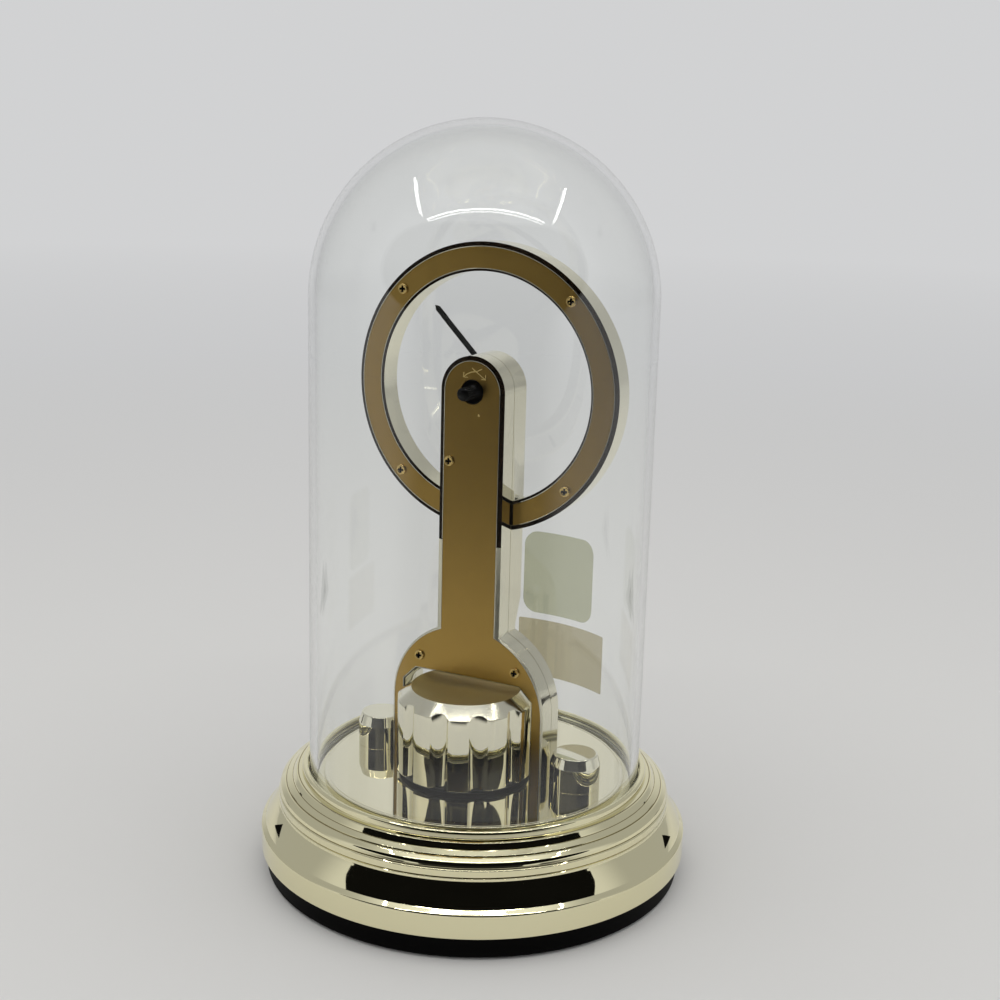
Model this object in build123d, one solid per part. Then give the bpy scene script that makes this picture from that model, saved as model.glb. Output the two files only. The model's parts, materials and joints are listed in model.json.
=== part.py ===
from build123d import *
import math
import os

os.makedirs("parts", exist_ok=True)

# Frame: origin under the middle of the base, +Z up, the dial faces -Y and the back faces +Y.

# Base shell
base_step_width = 14.4
base_wall = 2.4
rim_height = 8.4
lip_height = 3.1
lip_width = 2.1
seat_floor_z = 34.9
top_plate = 1.6
rim_round = 1.2
lip_round = 0.8
shoulder_swell = 0.55
# Tiers between the rim and the lip, outermost first, as shares of that width and height
tier_radius_shares = (0.903, 0.604, 0.5625, 0.5625, 0.41, 0.243, 0.139, 0.10)
tier_height_shares = (0.038, 0.358, 0.396, 0.585, 0.726, 0.775, 0.873, 0.89)

# Base pan and feet
pan_inset = 2.0
pan_top_z = 8.4
pan_floor = 2.2
pan_wall = 2.0
pan_spigot_wall = 2.0
pan_spigot_height = 2.6
pan_spigot_gap = 0.25
foot_radius = 6.0
foot_thickness = 1.4
foot_stand = 0.8
foot_inset = 11.0
foot_count = 4
pan_screw_inset = 13.0
pan_boss_radius = 3.4

# Screws
screw_gap = 0.06
shell_screw_radius = 1.2
shell_screw_head_radius = 2.6
shell_screw_head_height = 1.5
shell_screw_length = 10.0
cover_screw_radius = 0.9
cover_screw_head_radius = 1.8
cover_screw_head_height = 0.7
cover_screw_length = 5.0
cross_recess_length_share = 0.62
cross_recess_width_share = 0.2
cross_recess_depth_share = 0.55
screw_hole_spare = 1.0

# Glass dome
dome_wall = 2.5
dome_ring_gap = 6.85
dome_centre_rise = 30.3
dome_seat_gap = 0.4
dome_foot_round = 0.6
cushion_thickness = 0.7
cushion_side_gap = 0.15
film_glue_gap = 0.1
film_thickness = 0.15
square_film_width = 31.7
square_film_height = 32.0
square_film_low_z = 75.8
square_film_angle = -6.3
label_film_width = 40.8
label_film_height = 22.4
label_film_low_z = 50.8
label_film_angle = -9.3
film_corner = 3.5

# Mirror deck and posts
deck_dome_gap = 2.6
deck_thickness = 1.5
deck_edge_chamfer = 0.4
post_radius = 8.5
post_top_radius = 7.4
post_wall_height = 8.2
post_height = 11.8
post_column_gap = 0.8
post_screw_depth = 8.0

# Column
column_front_y = -9.2
column_rear_y = 7.7
bulge_front_y = -5.6
column_wall = 1.3
pillar_wall = 2.5
leg_width = 4.6
bulge_wall = 2.1
bulge_centre_drop = 10.7
drum_side_gap = 0.9
drum_head_gap = 3.0
opening_corner = 4.8
opening_ceiling = 2.4
opening_bevel = 0.35
pillar_foot_drop = 0.6
pillar_foot_rise = 9.0
bevel_depth = 0.6
pillar_bevel = 1.5
bulge_bevel = 0.55
rim_land = 0.15
cover_thickness = 1.0
cover_gap = 0.1
knob_hole_radius = 4.15
pillar_screw_inset = 3.8
pillar_screw_drop = 3.8
bulge_screw_inset = 4.93
bulge_screw_angle = 40.4
pillar_boss_radius = 2.2
bulge_boss_radius = 3.6
cover_boss_depth = 4.4
leg_screw_front_y = -3.1
leg_screw_rear_y = 4.4
leg_screw_radius = 0.9
leg_screw_head_radius = 1.8
leg_screw_head_height = 1.3
leg_screw_length = 11.0

# Dial ring
ring_centre_z = 170.35
ring_outer_radius = 48.75
ring_width = 9.65
ring_wall = 1.4
ring_rim = 1.0
ring_outer_bevel = 1.4
ring_inner_bevel = 0.8
ring_screw_inset = 4.45
ring_screw_angle = 45.0
ring_screw_count = 4
ring_boss_radius = 2.3
ring_pillar_gap = 0.05
ring_tongue_length = 1.7
ring_tongue_width = 3.6
ring_tongue_height = 6.0
ring_tongue_gap = 0.12
dial_thickness = 0.8
dial_gap = 0.1
marker_count = 12
marker_length = 5.0
marker_width = 1.3
marker_height = 0.5

# Hands and motion works
hand_thickness = 0.4
minute_hand_length = 35.7
minute_hand_width = 1.95
minute_hand_tail = 8.0
hour_hand_length = 24.0
hour_hand_width = 2.4
hour_hand_tail = 6.0
hand_point_share = 0.75
minute_boss_radius = 2.0
hour_boss_radius = 2.6
minute_hand_angle = 45.0
hour_hand_angle = 183.75
hour_hand_gap = 0.4
hand_gap = 0.6
hand_cap_radius = 1.3
hand_cap_height = 0.6
arbor_radius = 0.8
tube_radius = 1.4
bush_radius = 2.3
run_clearance = 0.06
loose_clearance = 0.4
nut_radius = 3.6
nut_height = 0.9
gear_centre_distance = 6.0
cannon_teeth = 12
motion_wheel_teeth = 36
motion_pinion_teeth = 10
hour_wheel_teeth = 40
gear_thickness = 0.8
gear_layer_gap = 0.35
addendum_share = 0.85
dedendum_share = 1.2
tooth_root_share = 0.56
tooth_tip_share = 0.2
motion_arbor_radius = 0.5

# Movement
movement_half_width = 9.0
movement_side_gap = 0.4
movement_drop = 20.35
movement_plate = 0.8
movement_wall = 1.0
movement_rear_y = 5.2
mid_plate_gap = 0.5
spacer_radius = 0.8
spacer_x = 6.4
spacer_rise = 3.4
circuit_thickness = 1.2
circuit_height = 13.0
circuit_side_gap = 0.6
stator_thickness = 0.8
stator_height = 7.0
stator_width = 13.0
stator_rise = 2.6
rotor_hole_radius = 1.5
motor_coil_radius = 2.3
motor_coil_length = 11.0
motor_core_radius = 0.8

# Setting knob
knob_radius = 2.3
knob_flange_radius = 3.5
knob_flange_thickness = 0.9
knob_reach = 6.5
knob_rear_gap = 0.4
knob_grip_count = 16
knob_grip_radius = 0.25
knob_grip_length = 4.2

# Pendulum drum
drum_axis_y = 7.5
drum_radius = 23.8
drum_height = 29.1
drum_cone_width = 4.8
drum_cone_height = 4.0
drum_step = 1.0
drum_wall = 3.0
drum_top_plate = 2.0
flute_count = 11
flute_depth = 1.7
flute_half_angle = 7.8
flute_first_angle = 96.0
drum_ring_inset = 1.0
drum_deck_gap = 1.0
drum_plug_height = 2.6
drum_plug_gap = 0.1
spindle_radius = 1.0
spindle_hub_radius = 4.0
spindle_hub_height = 8.0
magnet_radius = 4.0
magnet_height = 3.0
magnet_offset = 13.0
pivot_cup_radius = 4.0
pivot_flange_radius = 5.5
pivot_flange_thickness = 1.6
pivot_cup_depth = 4.5
pivot_bore_depth = 5.4
pivot_hole_gap = 0.1

# Drive parts and battery in the base
drive_coil_radius = 7.0
drive_coil_hole_radius = 2.0
board_thickness = 1.6
board_drop = 7.6
board_side_margin = 4.1
board_front_y = -33.0
board_rear_y = 24.0
standoff_radius = 2.6
standoff_x = 24.0
standoff_y = -24.0
board_screw_length = 7.0
cell_radius = 7.25
cell_length = 50.0
cell_button_radius = 2.6
cell_button_height = 1.4
cell_y = -24.0
cell_gap = 0.4
holder_wall = 1.2
contact_thickness = 0.5
contact_width = 7.0
contact_bump_radius = 2.0
door_end_overlap = 3.1
door_side_overlap = 1.95
door_thickness = 1.3
door_tongue = 0.9
door_tongue_thickness = 0.7
door_gap = 0.15
door_travel = 8.0
door_grip_count = 5
door_grip_pitch = 2.0
door_grip_depth = 0.3
door_grip_width = 0.8
door_margin = 3.0

# Lead from the board to the movement
lead_radius = 0.55
lead_tunnel_gap = 0.15
lead_y = 1.3
lead_leg_top_share = 0.075
lead_bend_radius = 6.0
lead_pillar_x = 4.0
lead_arch_rise = 8.0
lead_arch_inset = 3.4

# One overrun serves every cut that has to run past a face
cut_over = 0.5
quarter_turn = 90.0
half_turn = 180.0
full_turn = 360.0

# Sizes worked out from the ones above
ring_inner_radius = ring_outer_radius - ring_width
ring_screw_radius = ring_outer_radius - ring_screw_inset
dome_radius = ring_outer_radius + dome_ring_gap + dome_wall
dome_centre_z = ring_centre_z + dome_centre_rise
lip_top_z = seat_floor_z + lip_height
base_radius = dome_radius + dome_seat_gap + lip_width + base_step_width
pan_radius = base_radius - pan_inset
foot_circle_radius = pan_radius - foot_inset
pan_screw_circle_radius = pan_radius - pan_screw_inset
deck_radius = dome_radius - dome_wall - deck_dome_gap
rim_low_z = pan_top_z
rim_top_z = rim_low_z + rim_height
lip_inner_radius = dome_radius + dome_seat_gap
lip_outer_radius = lip_inner_radius + lip_width
plate_low_z = seat_floor_z - top_plate
deck_top_z = seat_floor_z + deck_thickness
pan_floor_low_z = foot_stand
pan_floor_top_z = pan_floor_low_z + pan_floor
dome_low_z = seat_floor_z + cushion_thickness
parting_y = 0.0
drum_low_z = deck_top_z + drum_deck_gap + drum_step
drum_top_z = drum_low_z + drum_height
drum_cone_z = drum_top_z - drum_cone_height
drum_top_radius = drum_radius - drum_cone_width
drum_ring_radius = drum_radius - drum_ring_inset
opening_half_width = drum_radius + drum_side_gap
opening_top_z = drum_top_z + drum_head_gap
bulge_radius = opening_half_width + leg_width
bulge_cavity_radius = bulge_radius - bulge_wall
bulge_centre_z = opening_top_z - bulge_centre_drop
bulge_screw_radius = bulge_radius - bulge_screw_inset
pillar_cavity_half_width = movement_half_width + movement_side_gap
pillar_half_width = pillar_cavity_half_width + pillar_wall
pillar_foot_low_z = bulge_centre_z + bulge_radius - pillar_foot_drop
pillar_foot_high_z = pillar_foot_low_z + pillar_foot_rise
movement_low_z = ring_centre_z - movement_drop
post_offset_x = bulge_radius + post_column_gap + post_radius
cavity_front_y = column_front_y + column_wall
bulge_cavity_front_y = bulge_front_y + column_wall
cover_low_y = column_rear_y - cover_thickness
leg_middle_x = (bulge_radius + opening_half_width) / 2
movement_front_y = cavity_front_y
plate_rear_y = movement_front_y + movement_plate
hour_wheel_y = plate_rear_y + gear_layer_gap
cannon_y = hour_wheel_y + gear_thickness + gear_layer_gap
mid_plate_y = cannon_y + gear_thickness + mid_plate_gap
hour_hand_y = column_front_y - nut_height - hour_hand_gap
minute_hand_y = hour_hand_y - hand_thickness - hand_gap
board_top_z = plate_low_z - board_drop
board_low_z = board_top_z - board_thickness
cell_z = pan_floor_top_z + cell_radius + cell_gap
holder_half_length = cell_length / 2 + contact_thickness + cell_button_height
holder_top_z = cell_z + cell_radius + cell_gap
board_half_width = holder_half_length + board_side_margin
door_length = 2 * (holder_half_length + door_end_overlap)
door_width = 2 * (cell_radius + cell_gap + holder_wall + door_side_overlap)
spindle_low_z = deck_top_z - pivot_bore_depth


def slab(outline, y_low, y_high):
    """Extrude an outline drawn in X and Z from y_low to y_high."""
    block = extrude(outline, amount=y_high - y_low)
    return Pos(0, y_high, 0) * Rot(quarter_turn, 0, 0) * block


def bevel_slab(wide, narrow, y_low, y_high):
    """Loft from a wide outline at y_low to a narrow one at y_high."""
    block = loft([Pos(0, 0, y_high - y_low) * wide, narrow], ruled=True)
    return Pos(0, y_high, 0) * Rot(quarter_turn, 0, 0) * block


def rod_y(radius, x, z, y_low, y_high):
    """A round bar along Y."""
    return slab(Pos(x, z) * Circle(radius), y_low, y_high)


def rod_z(radius, x, y, z_low, z_high):
    """A round bar along Z."""
    return Pos(x, y, z_low) * extrude(Circle(radius), amount=z_high - z_low)


def rod_x(radius, x_low, x_high, y, z):
    """A round bar along X."""
    bar = extrude(Circle(radius), amount=x_high - x_low)
    return Pos(x_low, y, z) * Rot(0, quarter_turn, 0) * bar


def block(x_low, x_high, y_low, y_high, z_low, z_high):
    """A box between two corners."""
    size = (x_high - x_low, y_high - y_low, z_high - z_low)
    middle = ((x_low + x_high) / 2, (y_low + y_high) / 2, (z_low + z_high) / 2)
    return Pos(*middle) * Box(*size)


def flat_rect(x_low, x_high, z_low, z_high):
    """A flat rectangle between two corners."""
    middle = Pos((x_low + x_high) / 2, (z_low + z_high) / 2)
    return middle * Rectangle(x_high - x_low, z_high - z_low)


def turned(points):
    """Turn a closed outline of radius and height pairs about the Z axis."""
    outline = make_face(Polyline(*points, close=True))
    return revolve(Rot(quarter_turn, 0, 0) * outline, Axis.Z, full_turn)


def turned_y(points, z):
    """Turn a closed outline of radius and Y pairs about a Y axis at height z."""
    outline = make_face(Polyline(*points, close=True))
    return Pos(0, 0, z) * revolve(outline, Axis.Y, full_turn)


def ring_places(count, radius, first_angle):
    """Places evenly round a circle, as X and Y pairs."""
    places = []
    for index in range(count):
        angle = math.radians(first_angle + full_turn * index / count)
        places.append((radius * math.cos(angle), radius * math.sin(angle)))
    return places


def cross_recess(head_radius, head_height):
    """The cross-shaped driver recess, its floor at zero, opening towards +Z."""
    long = 2 * head_radius * cross_recess_length_share
    short = 2 * head_radius * cross_recess_width_share
    deep = head_height * cross_recess_depth_share + cut_over
    bar = Pos(0, 0, deep / 2) * Box(long, short, deep)
    return bar + Rot(0, 0, quarter_turn) * bar


def screw(radius, length, head_radius, head_height):
    """A pan-head screw along Z, its shank below zero and its head above."""
    head = extrude(Circle(head_radius), amount=head_height)
    head = fillet(head.edges().group_by(Axis.Z)[-1], head_height / 2)
    shank = Pos(0, 0, -length) * extrude(Circle(radius), amount=length)
    recess = Pos(0, 0, head_height * (1 - cross_recess_depth_share))
    return head + shank - recess * cross_recess(head_radius, head_height)


def save(shape, name):
    """Write one node."""
    export_step(shape, f"parts/{name}.step")


def save_group(solids, name):
    """Write several separate solids as one node."""
    export_step(Compound(children=solids), f"parts/{name}.step")


# Base

def tier_points():
    """The turned steps of the base between its rim and its lip."""
    width = base_radius - lip_outer_radius
    height = lip_top_z - rim_top_z
    points = []
    for radius_share, height_share in zip(tier_radius_shares, tier_height_shares):
        radius = lip_outer_radius + width * radius_share
        points.append((radius, rim_top_z + height * height_share))
    return points


def swell(low, high, rise):
    """An arc between two outline points that stands out by rise."""
    run = (high[0] - low[0], high[1] - low[1])
    length = math.hypot(*run)
    middle = ((low[0] + high[0]) / 2, (low[1] + high[1]) / 2)
    top = (middle[0] + run[1] / length * rise, middle[1] - run[0] / length * rise)
    return ThreePointArc(low, top, high)


def base_outer():
    """The solid outer form of the base, with its dome seat cut in."""
    tiers = tier_points()
    rim = [(0, rim_low_z), (base_radius, rim_low_z), (base_radius, rim_top_z - rim_round)]
    lines = [Polyline(*rim)]
    lines.append(swell(rim[-1], tiers[0], rim_round / 4))
    lines.append(Polyline(*tiers[:4]))
    lines.append(swell(tiers[3], tiers[4], shoulder_swell))
    lines.append(Polyline(*tiers[4:]))
    lip = [tiers[-1], (lip_outer_radius, lip_top_z), (lip_inner_radius, lip_top_z)]
    seat = [(lip_inner_radius, seat_floor_z), (0, seat_floor_z), (0, rim_low_z)]
    lines.append(Polyline(*lip, *seat))
    body = revolve(Rot(quarter_turn, 0, 0) * make_face(lines), Axis.Z, full_turn)
    lip_edges = body.edges().filter_by(GeomType.CIRCLE).group_by(Axis.Z)[-1]
    return fillet(lip_edges, lip_round)


def base_hollow():
    """The space inside the base shell."""
    points = [(0, rim_low_z - cut_over), (base_radius - base_wall, rim_low_z - cut_over)]
    points.append((base_radius - base_wall, rim_top_z - base_wall))
    for radius, height in tier_points():
        if height - base_wall < plate_low_z:
            points.append((radius - base_wall, height - base_wall))
    points.append((points[-1][0], plate_low_z))
    points.append((0, plate_low_z))
    return turned(points)


def pan_screw_places():
    """Where the four screws hold the pan, as X and Y pairs."""
    return ring_places(foot_count, pan_screw_circle_radius, half_turn / foot_count)


def standoff_places():
    """Where two screws hold the drive board."""
    return [(-standoff_x, standoff_y), (standoff_x, standoff_y)]


def leg_screw_places():
    """Where four screws enter the feet of the column."""
    return [(side * leg_middle_x, y) for side in (-1, 1) for y in (leg_screw_front_y, leg_screw_rear_y)]


def post_places():
    """Where the two posts stand."""
    return [(-post_offset_x, 0), (post_offset_x, 0)]


def deck_holes(low_z, high_z):
    """The holes that run through the deck and the plate under it."""
    holes = rod_z(pivot_cup_radius + pivot_hole_gap, 0, drum_axis_y, low_z, high_z)
    for x, y in leg_screw_places():
        holes += rod_z(leg_screw_radius + screw_gap, x, y, low_z, high_z)
    for x, y in post_places():
        holes += rod_z(shell_screw_radius + screw_gap, x, y, low_z, high_z)
    holes += rod_z(lead_radius + lead_tunnel_gap, leg_middle_x, lead_y, low_z, high_z)
    return holes


def make_base_shell():
    """The turned outer shell of the base."""
    shell = base_outer() - base_hollow()
    for x, y in pan_screw_places():
        shell += rod_z(pan_boss_radius, x, y, pan_floor_top_z, plate_low_z + top_plate / 2)
    for x, y in standoff_places():
        shell += rod_z(standoff_radius, x, y, board_top_z, plate_low_z + top_plate / 2)
    pilot = shell_screw_radius + screw_gap
    depth = shell_screw_length + screw_hole_spare
    for x, y in pan_screw_places():
        shell -= rod_z(pilot, x, y, pan_floor_top_z - cut_over, pan_floor_top_z + depth)
    for x, y in standoff_places():
        top = board_top_z + board_screw_length - board_thickness + screw_hole_spare
        shell -= rod_z(cover_screw_radius + screw_gap, x, y, board_top_z - cut_over, top)
    return shell - deck_holes(plate_low_z - cut_over, seat_floor_z + cut_over)


def door_channel():
    """The recess and side grooves in the pan that the battery door slides in."""
    half = door_length / 2 + door_gap
    side = door_width / 2 + door_gap
    low = pan_floor_low_z - cut_over
    top = pan_floor_low_z + door_thickness + 2 * door_gap
    recess = block(-half, half + door_travel, cell_y - side, cell_y + side, low, top)
    wide = side + door_tongue
    groove_low = top - door_tongue_thickness - 2 * door_gap
    return recess + block(-half, half + door_travel, cell_y - wide, cell_y + wide, groove_low, top)


def make_base_pan():
    """The black pan that closes the base from below."""
    inner = pan_radius - pan_wall
    spigot = base_radius - base_wall - pan_spigot_gap
    top = pan_top_z + pan_spigot_height
    points = [(0, pan_floor_low_z), (pan_radius, pan_floor_low_z), (pan_radius, pan_top_z)]
    points += [(spigot, pan_top_z), (spigot, top), (spigot - pan_spigot_wall, top)]
    points += [(spigot - pan_spigot_wall, pan_top_z), (inner - pan_spigot_wall, pan_floor_top_z)]
    points += [(0, pan_floor_top_z)]
    pan = turned(points)
    for x, y in ring_places(foot_count, foot_circle_radius, 0):
        low = foot_thickness - pan_floor_low_z
        pan -= rod_z(foot_radius, x, y, pan_floor_low_z - cut_over, pan_floor_low_z + low)
    for x, y in pan_screw_places():
        head_top = pan_floor_low_z + shell_screw_head_height
        hole = shell_screw_radius + screw_gap
        pan -= rod_z(shell_screw_head_radius + screw_gap, x, y, 0, head_top)
        pan -= rod_z(hole, x, y, 0, pan_floor_top_z + cut_over)
    pan -= door_channel()
    half = holder_half_length - door_margin
    side = cell_radius + cell_gap
    window_top = pan_floor_top_z + cut_over
    return pan - block(-half, half, cell_y - side, cell_y + side, pan_floor_low_z, window_top)


def make_feet():
    """Four rubber feet let into the pan."""
    feet = []
    for x, y in ring_places(foot_count, foot_circle_radius, 0):
        feet.append(rod_z(foot_radius, x, y, 0, foot_thickness))
    return feet


def make_pan_screws():
    """Four screws that hold the pan to the shell."""
    piece = screw(shell_screw_radius, shell_screw_length + pan_floor / 2,
                  shell_screw_head_radius, shell_screw_head_height)
    piece = Rot(half_turn, 0, 0) * piece
    z = pan_floor_low_z + shell_screw_head_height
    return [Pos(x, y, z) * piece for x, y in pan_screw_places()]


def make_deck():
    """The polished disc that the clock stands on inside the dome."""
    deck = rod_z(deck_radius, 0, 0, seat_floor_z, deck_top_z)
    deck = chamfer(deck.edges().group_by(Axis.Z)[-1], deck_edge_chamfer)
    return deck - deck_holes(seat_floor_z - cut_over, deck_top_z + cut_over)


def make_cushion():
    """The soft ring that the dome stands on."""
    outer = lip_inner_radius - cushion_side_gap
    inner = dome_radius - dome_wall
    ring = rod_z(outer, 0, 0, seat_floor_z, dome_low_z)
    return ring - rod_z(inner, 0, 0, seat_floor_z - cut_over, dome_low_z + cut_over)


def make_posts():
    """The two polished posts beside the column."""
    wall_top = deck_top_z + post_wall_height
    top = deck_top_z + post_height
    points = [(0, deck_top_z), (post_radius, deck_top_z), (post_radius, wall_top)]
    points += [(post_top_radius, top), (0, top)]
    post = turned(points)
    pilot_top = deck_top_z + post_screw_depth + screw_hole_spare
    post -= rod_z(shell_screw_radius + screw_gap, 0, 0, deck_top_z - cut_over, pilot_top)
    return [Pos(x, y, 0) * post for x, y in post_places()]


def make_post_screws():
    """Two screws that hold the posts from inside the base."""
    length = top_plate + deck_thickness + post_screw_depth
    piece = screw(shell_screw_radius, length, shell_screw_head_radius, shell_screw_head_height)
    piece = Rot(half_turn, 0, 0) * piece
    return [Pos(x, y, plate_low_z) * piece for x, y in post_places()]


# Dome

def half_ball(radius):
    """The upper half of a ball at the top of the dome's cylinder."""
    place = (Align.CENTER, Align.CENTER, Align.MIN)
    return Pos(0, 0, dome_centre_z) * Sphere(radius, arc_size1=0, align=place)


def make_dome():
    """The clear glass dome: a cylinder with a half ball on top."""
    outer = rod_z(dome_radius, 0, 0, dome_low_z, dome_centre_z)
    outer += half_ball(dome_radius)
    inner_radius = dome_radius - dome_wall
    inner = rod_z(inner_radius, 0, 0, dome_low_z - cut_over, dome_centre_z)
    inner += half_ball(inner_radius)
    dome = outer - inner
    return fillet(dome.edges().group_by(Axis.Z)[0], dome_foot_round)


def film(width, height, low_z, facing_angle):
    """A thin clear film wrapped on the front of the dome."""
    inner_radius = dome_radius + film_glue_gap
    skin = rod_z(inner_radius + film_thickness, 0, 0, low_z, low_z + height)
    skin -= rod_z(inner_radius, 0, 0, low_z - cut_over, low_z + height + cut_over)
    angle = math.degrees(width / inner_radius)
    half_width = inner_radius * math.sin(math.radians(angle / 2))
    outline = Pos(0, low_z + height / 2) * RectangleRounded(2 * half_width, height, film_corner)
    window = slab(outline, -inner_radius - 2 * film_thickness, 0)
    return Rot(0, 0, facing_angle) * (skin & window)


# Column

def pillar_outline(inset):
    """The upright of the column, down to the middle of the bulge."""
    half = pillar_half_width - inset
    arch = Pos(0, ring_centre_z) * Circle(half)
    return flat_rect(-half, half, bulge_centre_z, ring_centre_z) + arch


def bulge_outline(inset):
    """The arched foot of the column, down to the deck."""
    radius = bulge_radius - inset
    feet = flat_rect(-radius, radius, deck_top_z, bulge_centre_z)
    arch = Pos(0, bulge_centre_z) * Circle(radius)
    low = bulge_centre_z - radius - cut_over
    arch -= flat_rect(-bulge_radius, bulge_radius, low, bulge_centre_z)
    return feet + arch


def opening_outline(inset):
    """The arch that the drum turns in, open at the deck."""
    half = opening_half_width + inset
    top = opening_top_z + inset
    corner = opening_corner + inset / 2
    low = deck_top_z - cut_over
    left = [(-half, low), (-half, top - corner), (-half + corner, top)]
    right = [(half - corner, top), (half, top - corner), (half, low)]
    return make_face(Polyline(*left, *right, close=True))


def cavity_outline():
    """The hollow of the column, above the arch."""
    pillar = flat_rect(-pillar_cavity_half_width, pillar_cavity_half_width, bulge_centre_z, ring_centre_z)
    pillar += Pos(0, ring_centre_z) * Circle(pillar_cavity_half_width)
    low = opening_top_z + opening_ceiling
    crown = Pos(0, bulge_centre_z) * Circle(bulge_cavity_radius)
    below = flat_rect(-bulge_radius, bulge_radius, bulge_centre_z - bulge_radius, low)
    return pillar + crown - below


def lead_line():
    """The middle line of the lead, from the drive board to the movement."""
    leg_top = bulge_centre_z + bulge_radius * lead_leg_top_share
    arch_x = opening_half_width - lead_arch_inset
    arch_z = opening_top_z + opening_ceiling + lead_arch_rise / 2
    points = [(leg_middle_x, lead_y, board_top_z), (leg_middle_x, lead_y, leg_top)]
    points += [(arch_x, lead_y, arch_z), (lead_pillar_x, lead_y, arch_z + lead_arch_rise)]
    points += [(lead_pillar_x, lead_y, movement_low_z)]
    return FilletPolyline(*points, radius=lead_bend_radius)


def lead_tube(radius):
    """A round tube along the lead's line."""
    line = lead_line()
    start = Plane(origin=line @ 0, z_dir=line % 0)
    return sweep(start * Circle(radius), path=line)


def cover_screw_places():
    """Where three screws hold the rear cover, as X and Z pairs."""
    places = [(pillar_half_width - pillar_screw_inset, movement_low_z - pillar_screw_drop)]
    angle = math.radians(bulge_screw_angle)
    x = bulge_screw_radius * math.cos(angle)
    z = bulge_centre_z + bulge_screw_radius * math.sin(angle)
    return places + [(side * x, z) for side in (-1, 1)]


def leg_pilot_holes(rear):
    """Pilot holes in the column feet, for one half of the column."""
    holes = []
    for x, y in leg_screw_places():
        if (y > parting_y) == rear:
            top = deck_top_z + leg_screw_length - top_plate - deck_thickness + screw_hole_spare
            holes.append(rod_z(leg_screw_radius + screw_gap, x, y, deck_top_z - cut_over, top))
    return holes


def make_rear_shell():
    """The rear half of the column, with the pocket for its cover."""
    edge_y = column_rear_y - bevel_depth
    shell = slab(pillar_outline(0), parting_y, edge_y)
    shell += bevel_slab(pillar_outline(0), pillar_outline(pillar_bevel), edge_y, column_rear_y)
    shell += slab(bulge_outline(0), parting_y, edge_y)
    shell += bevel_slab(bulge_outline(0), bulge_outline(bulge_bevel), edge_y, column_rear_y)
    pocket = pillar_outline(pillar_bevel + rim_land) + bulge_outline(bulge_bevel + rim_land)
    pocket -= opening_outline(opening_bevel + rim_land)
    shell -= slab(pocket, cover_low_y, column_rear_y + cut_over)
    shell -= slab(cavity_outline(), parting_y - cut_over, cover_low_y + cut_over)
    shell -= bevel_slab(opening_outline(0), opening_outline(opening_bevel), edge_y, column_rear_y)
    boss_radii = (pillar_boss_radius, bulge_boss_radius, bulge_boss_radius)
    for (x, z), radius in zip(cover_screw_places(), boss_radii):
        shell += rod_y(radius, x, z, cover_low_y - cover_boss_depth, cover_low_y)
    shell &= slab(pillar_outline(0) + bulge_outline(0), parting_y, column_rear_y)
    shell -= slab(opening_outline(0), parting_y - cut_over, column_rear_y + cut_over)
    for x, z in cover_screw_places():
        shell -= rod_y(cover_screw_radius + screw_gap, x, z, parting_y - cut_over, column_rear_y)
    for hole in leg_pilot_holes(True):
        shell -= hole
    return shell - lead_tube(lead_radius + lead_tunnel_gap)


def make_rear_cover():
    """The satin plate let into the back of the column."""
    pillar = pillar_outline(pillar_bevel + rim_land + cover_gap)
    outline = pillar + bulge_outline(bulge_bevel + rim_land + cover_gap)
    outline -= opening_outline(opening_bevel + rim_land + cover_gap)
    outline -= Pos(0, ring_centre_z) * Circle(knob_hole_radius)
    for x, z in cover_screw_places():
        outline -= Pos(x, z) * Circle(cover_screw_radius + screw_gap)
    return slab(outline, cover_low_y, column_rear_y)


def make_cover_screws():
    """Three screws that hold the rear cover."""
    piece = screw(cover_screw_radius, cover_screw_length, cover_screw_head_radius, cover_screw_head_height)
    piece = Rot(-quarter_turn, 0, 0) * piece
    return [Pos(x, column_rear_y, z) * piece for x, z in cover_screw_places()]


def pillar_front_profile():
    """The side outline of the pillar's raised front, in Y and Z, turned to stand on X."""
    top = ring_centre_z + pillar_half_width + cut_over
    points = [(bulge_front_y, pillar_foot_low_z), (column_front_y, pillar_foot_high_z)]
    points += [(column_front_y, top), (parting_y, top), (parting_y, bulge_centre_z)]
    points += [(bulge_front_y, bulge_centre_z)]
    outline = make_face(Polyline(*points, close=True))
    bar = Plane.YZ * extrude(outline, amount=2 * pillar_half_width)
    return Pos(-pillar_half_width, 0, 0) * bar


def make_front_shell():
    """The front half of the column."""
    pillar = slab(pillar_outline(0), column_front_y, parting_y) & pillar_front_profile()
    bulge = slab(bulge_outline(0), bulge_front_y, parting_y)
    shell = pillar + bulge
    cavity = slab(cavity_outline(), bulge_cavity_front_y, parting_y + cut_over)
    high_z = pillar_foot_high_z + column_wall
    top = ring_centre_z + pillar_half_width
    tall = flat_rect(-pillar_half_width, pillar_half_width, high_z, top) & cavity_outline()
    cavity += slab(tall, cavity_front_y, parting_y)
    shell -= cavity
    shell -= slab(opening_outline(0), bulge_front_y - cut_over, parting_y + cut_over)
    shell -= dial_recess()
    shell -= rod_y(bush_radius + screw_gap, 0, ring_centre_z, column_front_y - cut_over, 0)
    for x in (-1, 1):
        shell -= tongue(x, ring_tongue_gap)
    for hole in leg_pilot_holes(False):
        shell -= hole
    return shell


# Dial ring

def dial_recess():
    """The shallow band that the dial plate lies in."""
    inner = ring_inner_radius + ring_rim
    outer = ring_outer_radius - ring_rim
    disc = Circle(outer) - Circle(inner)
    depth = column_front_y + dial_thickness
    return slab(Pos(0, ring_centre_z) * disc, column_front_y - cut_over, depth)


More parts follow.
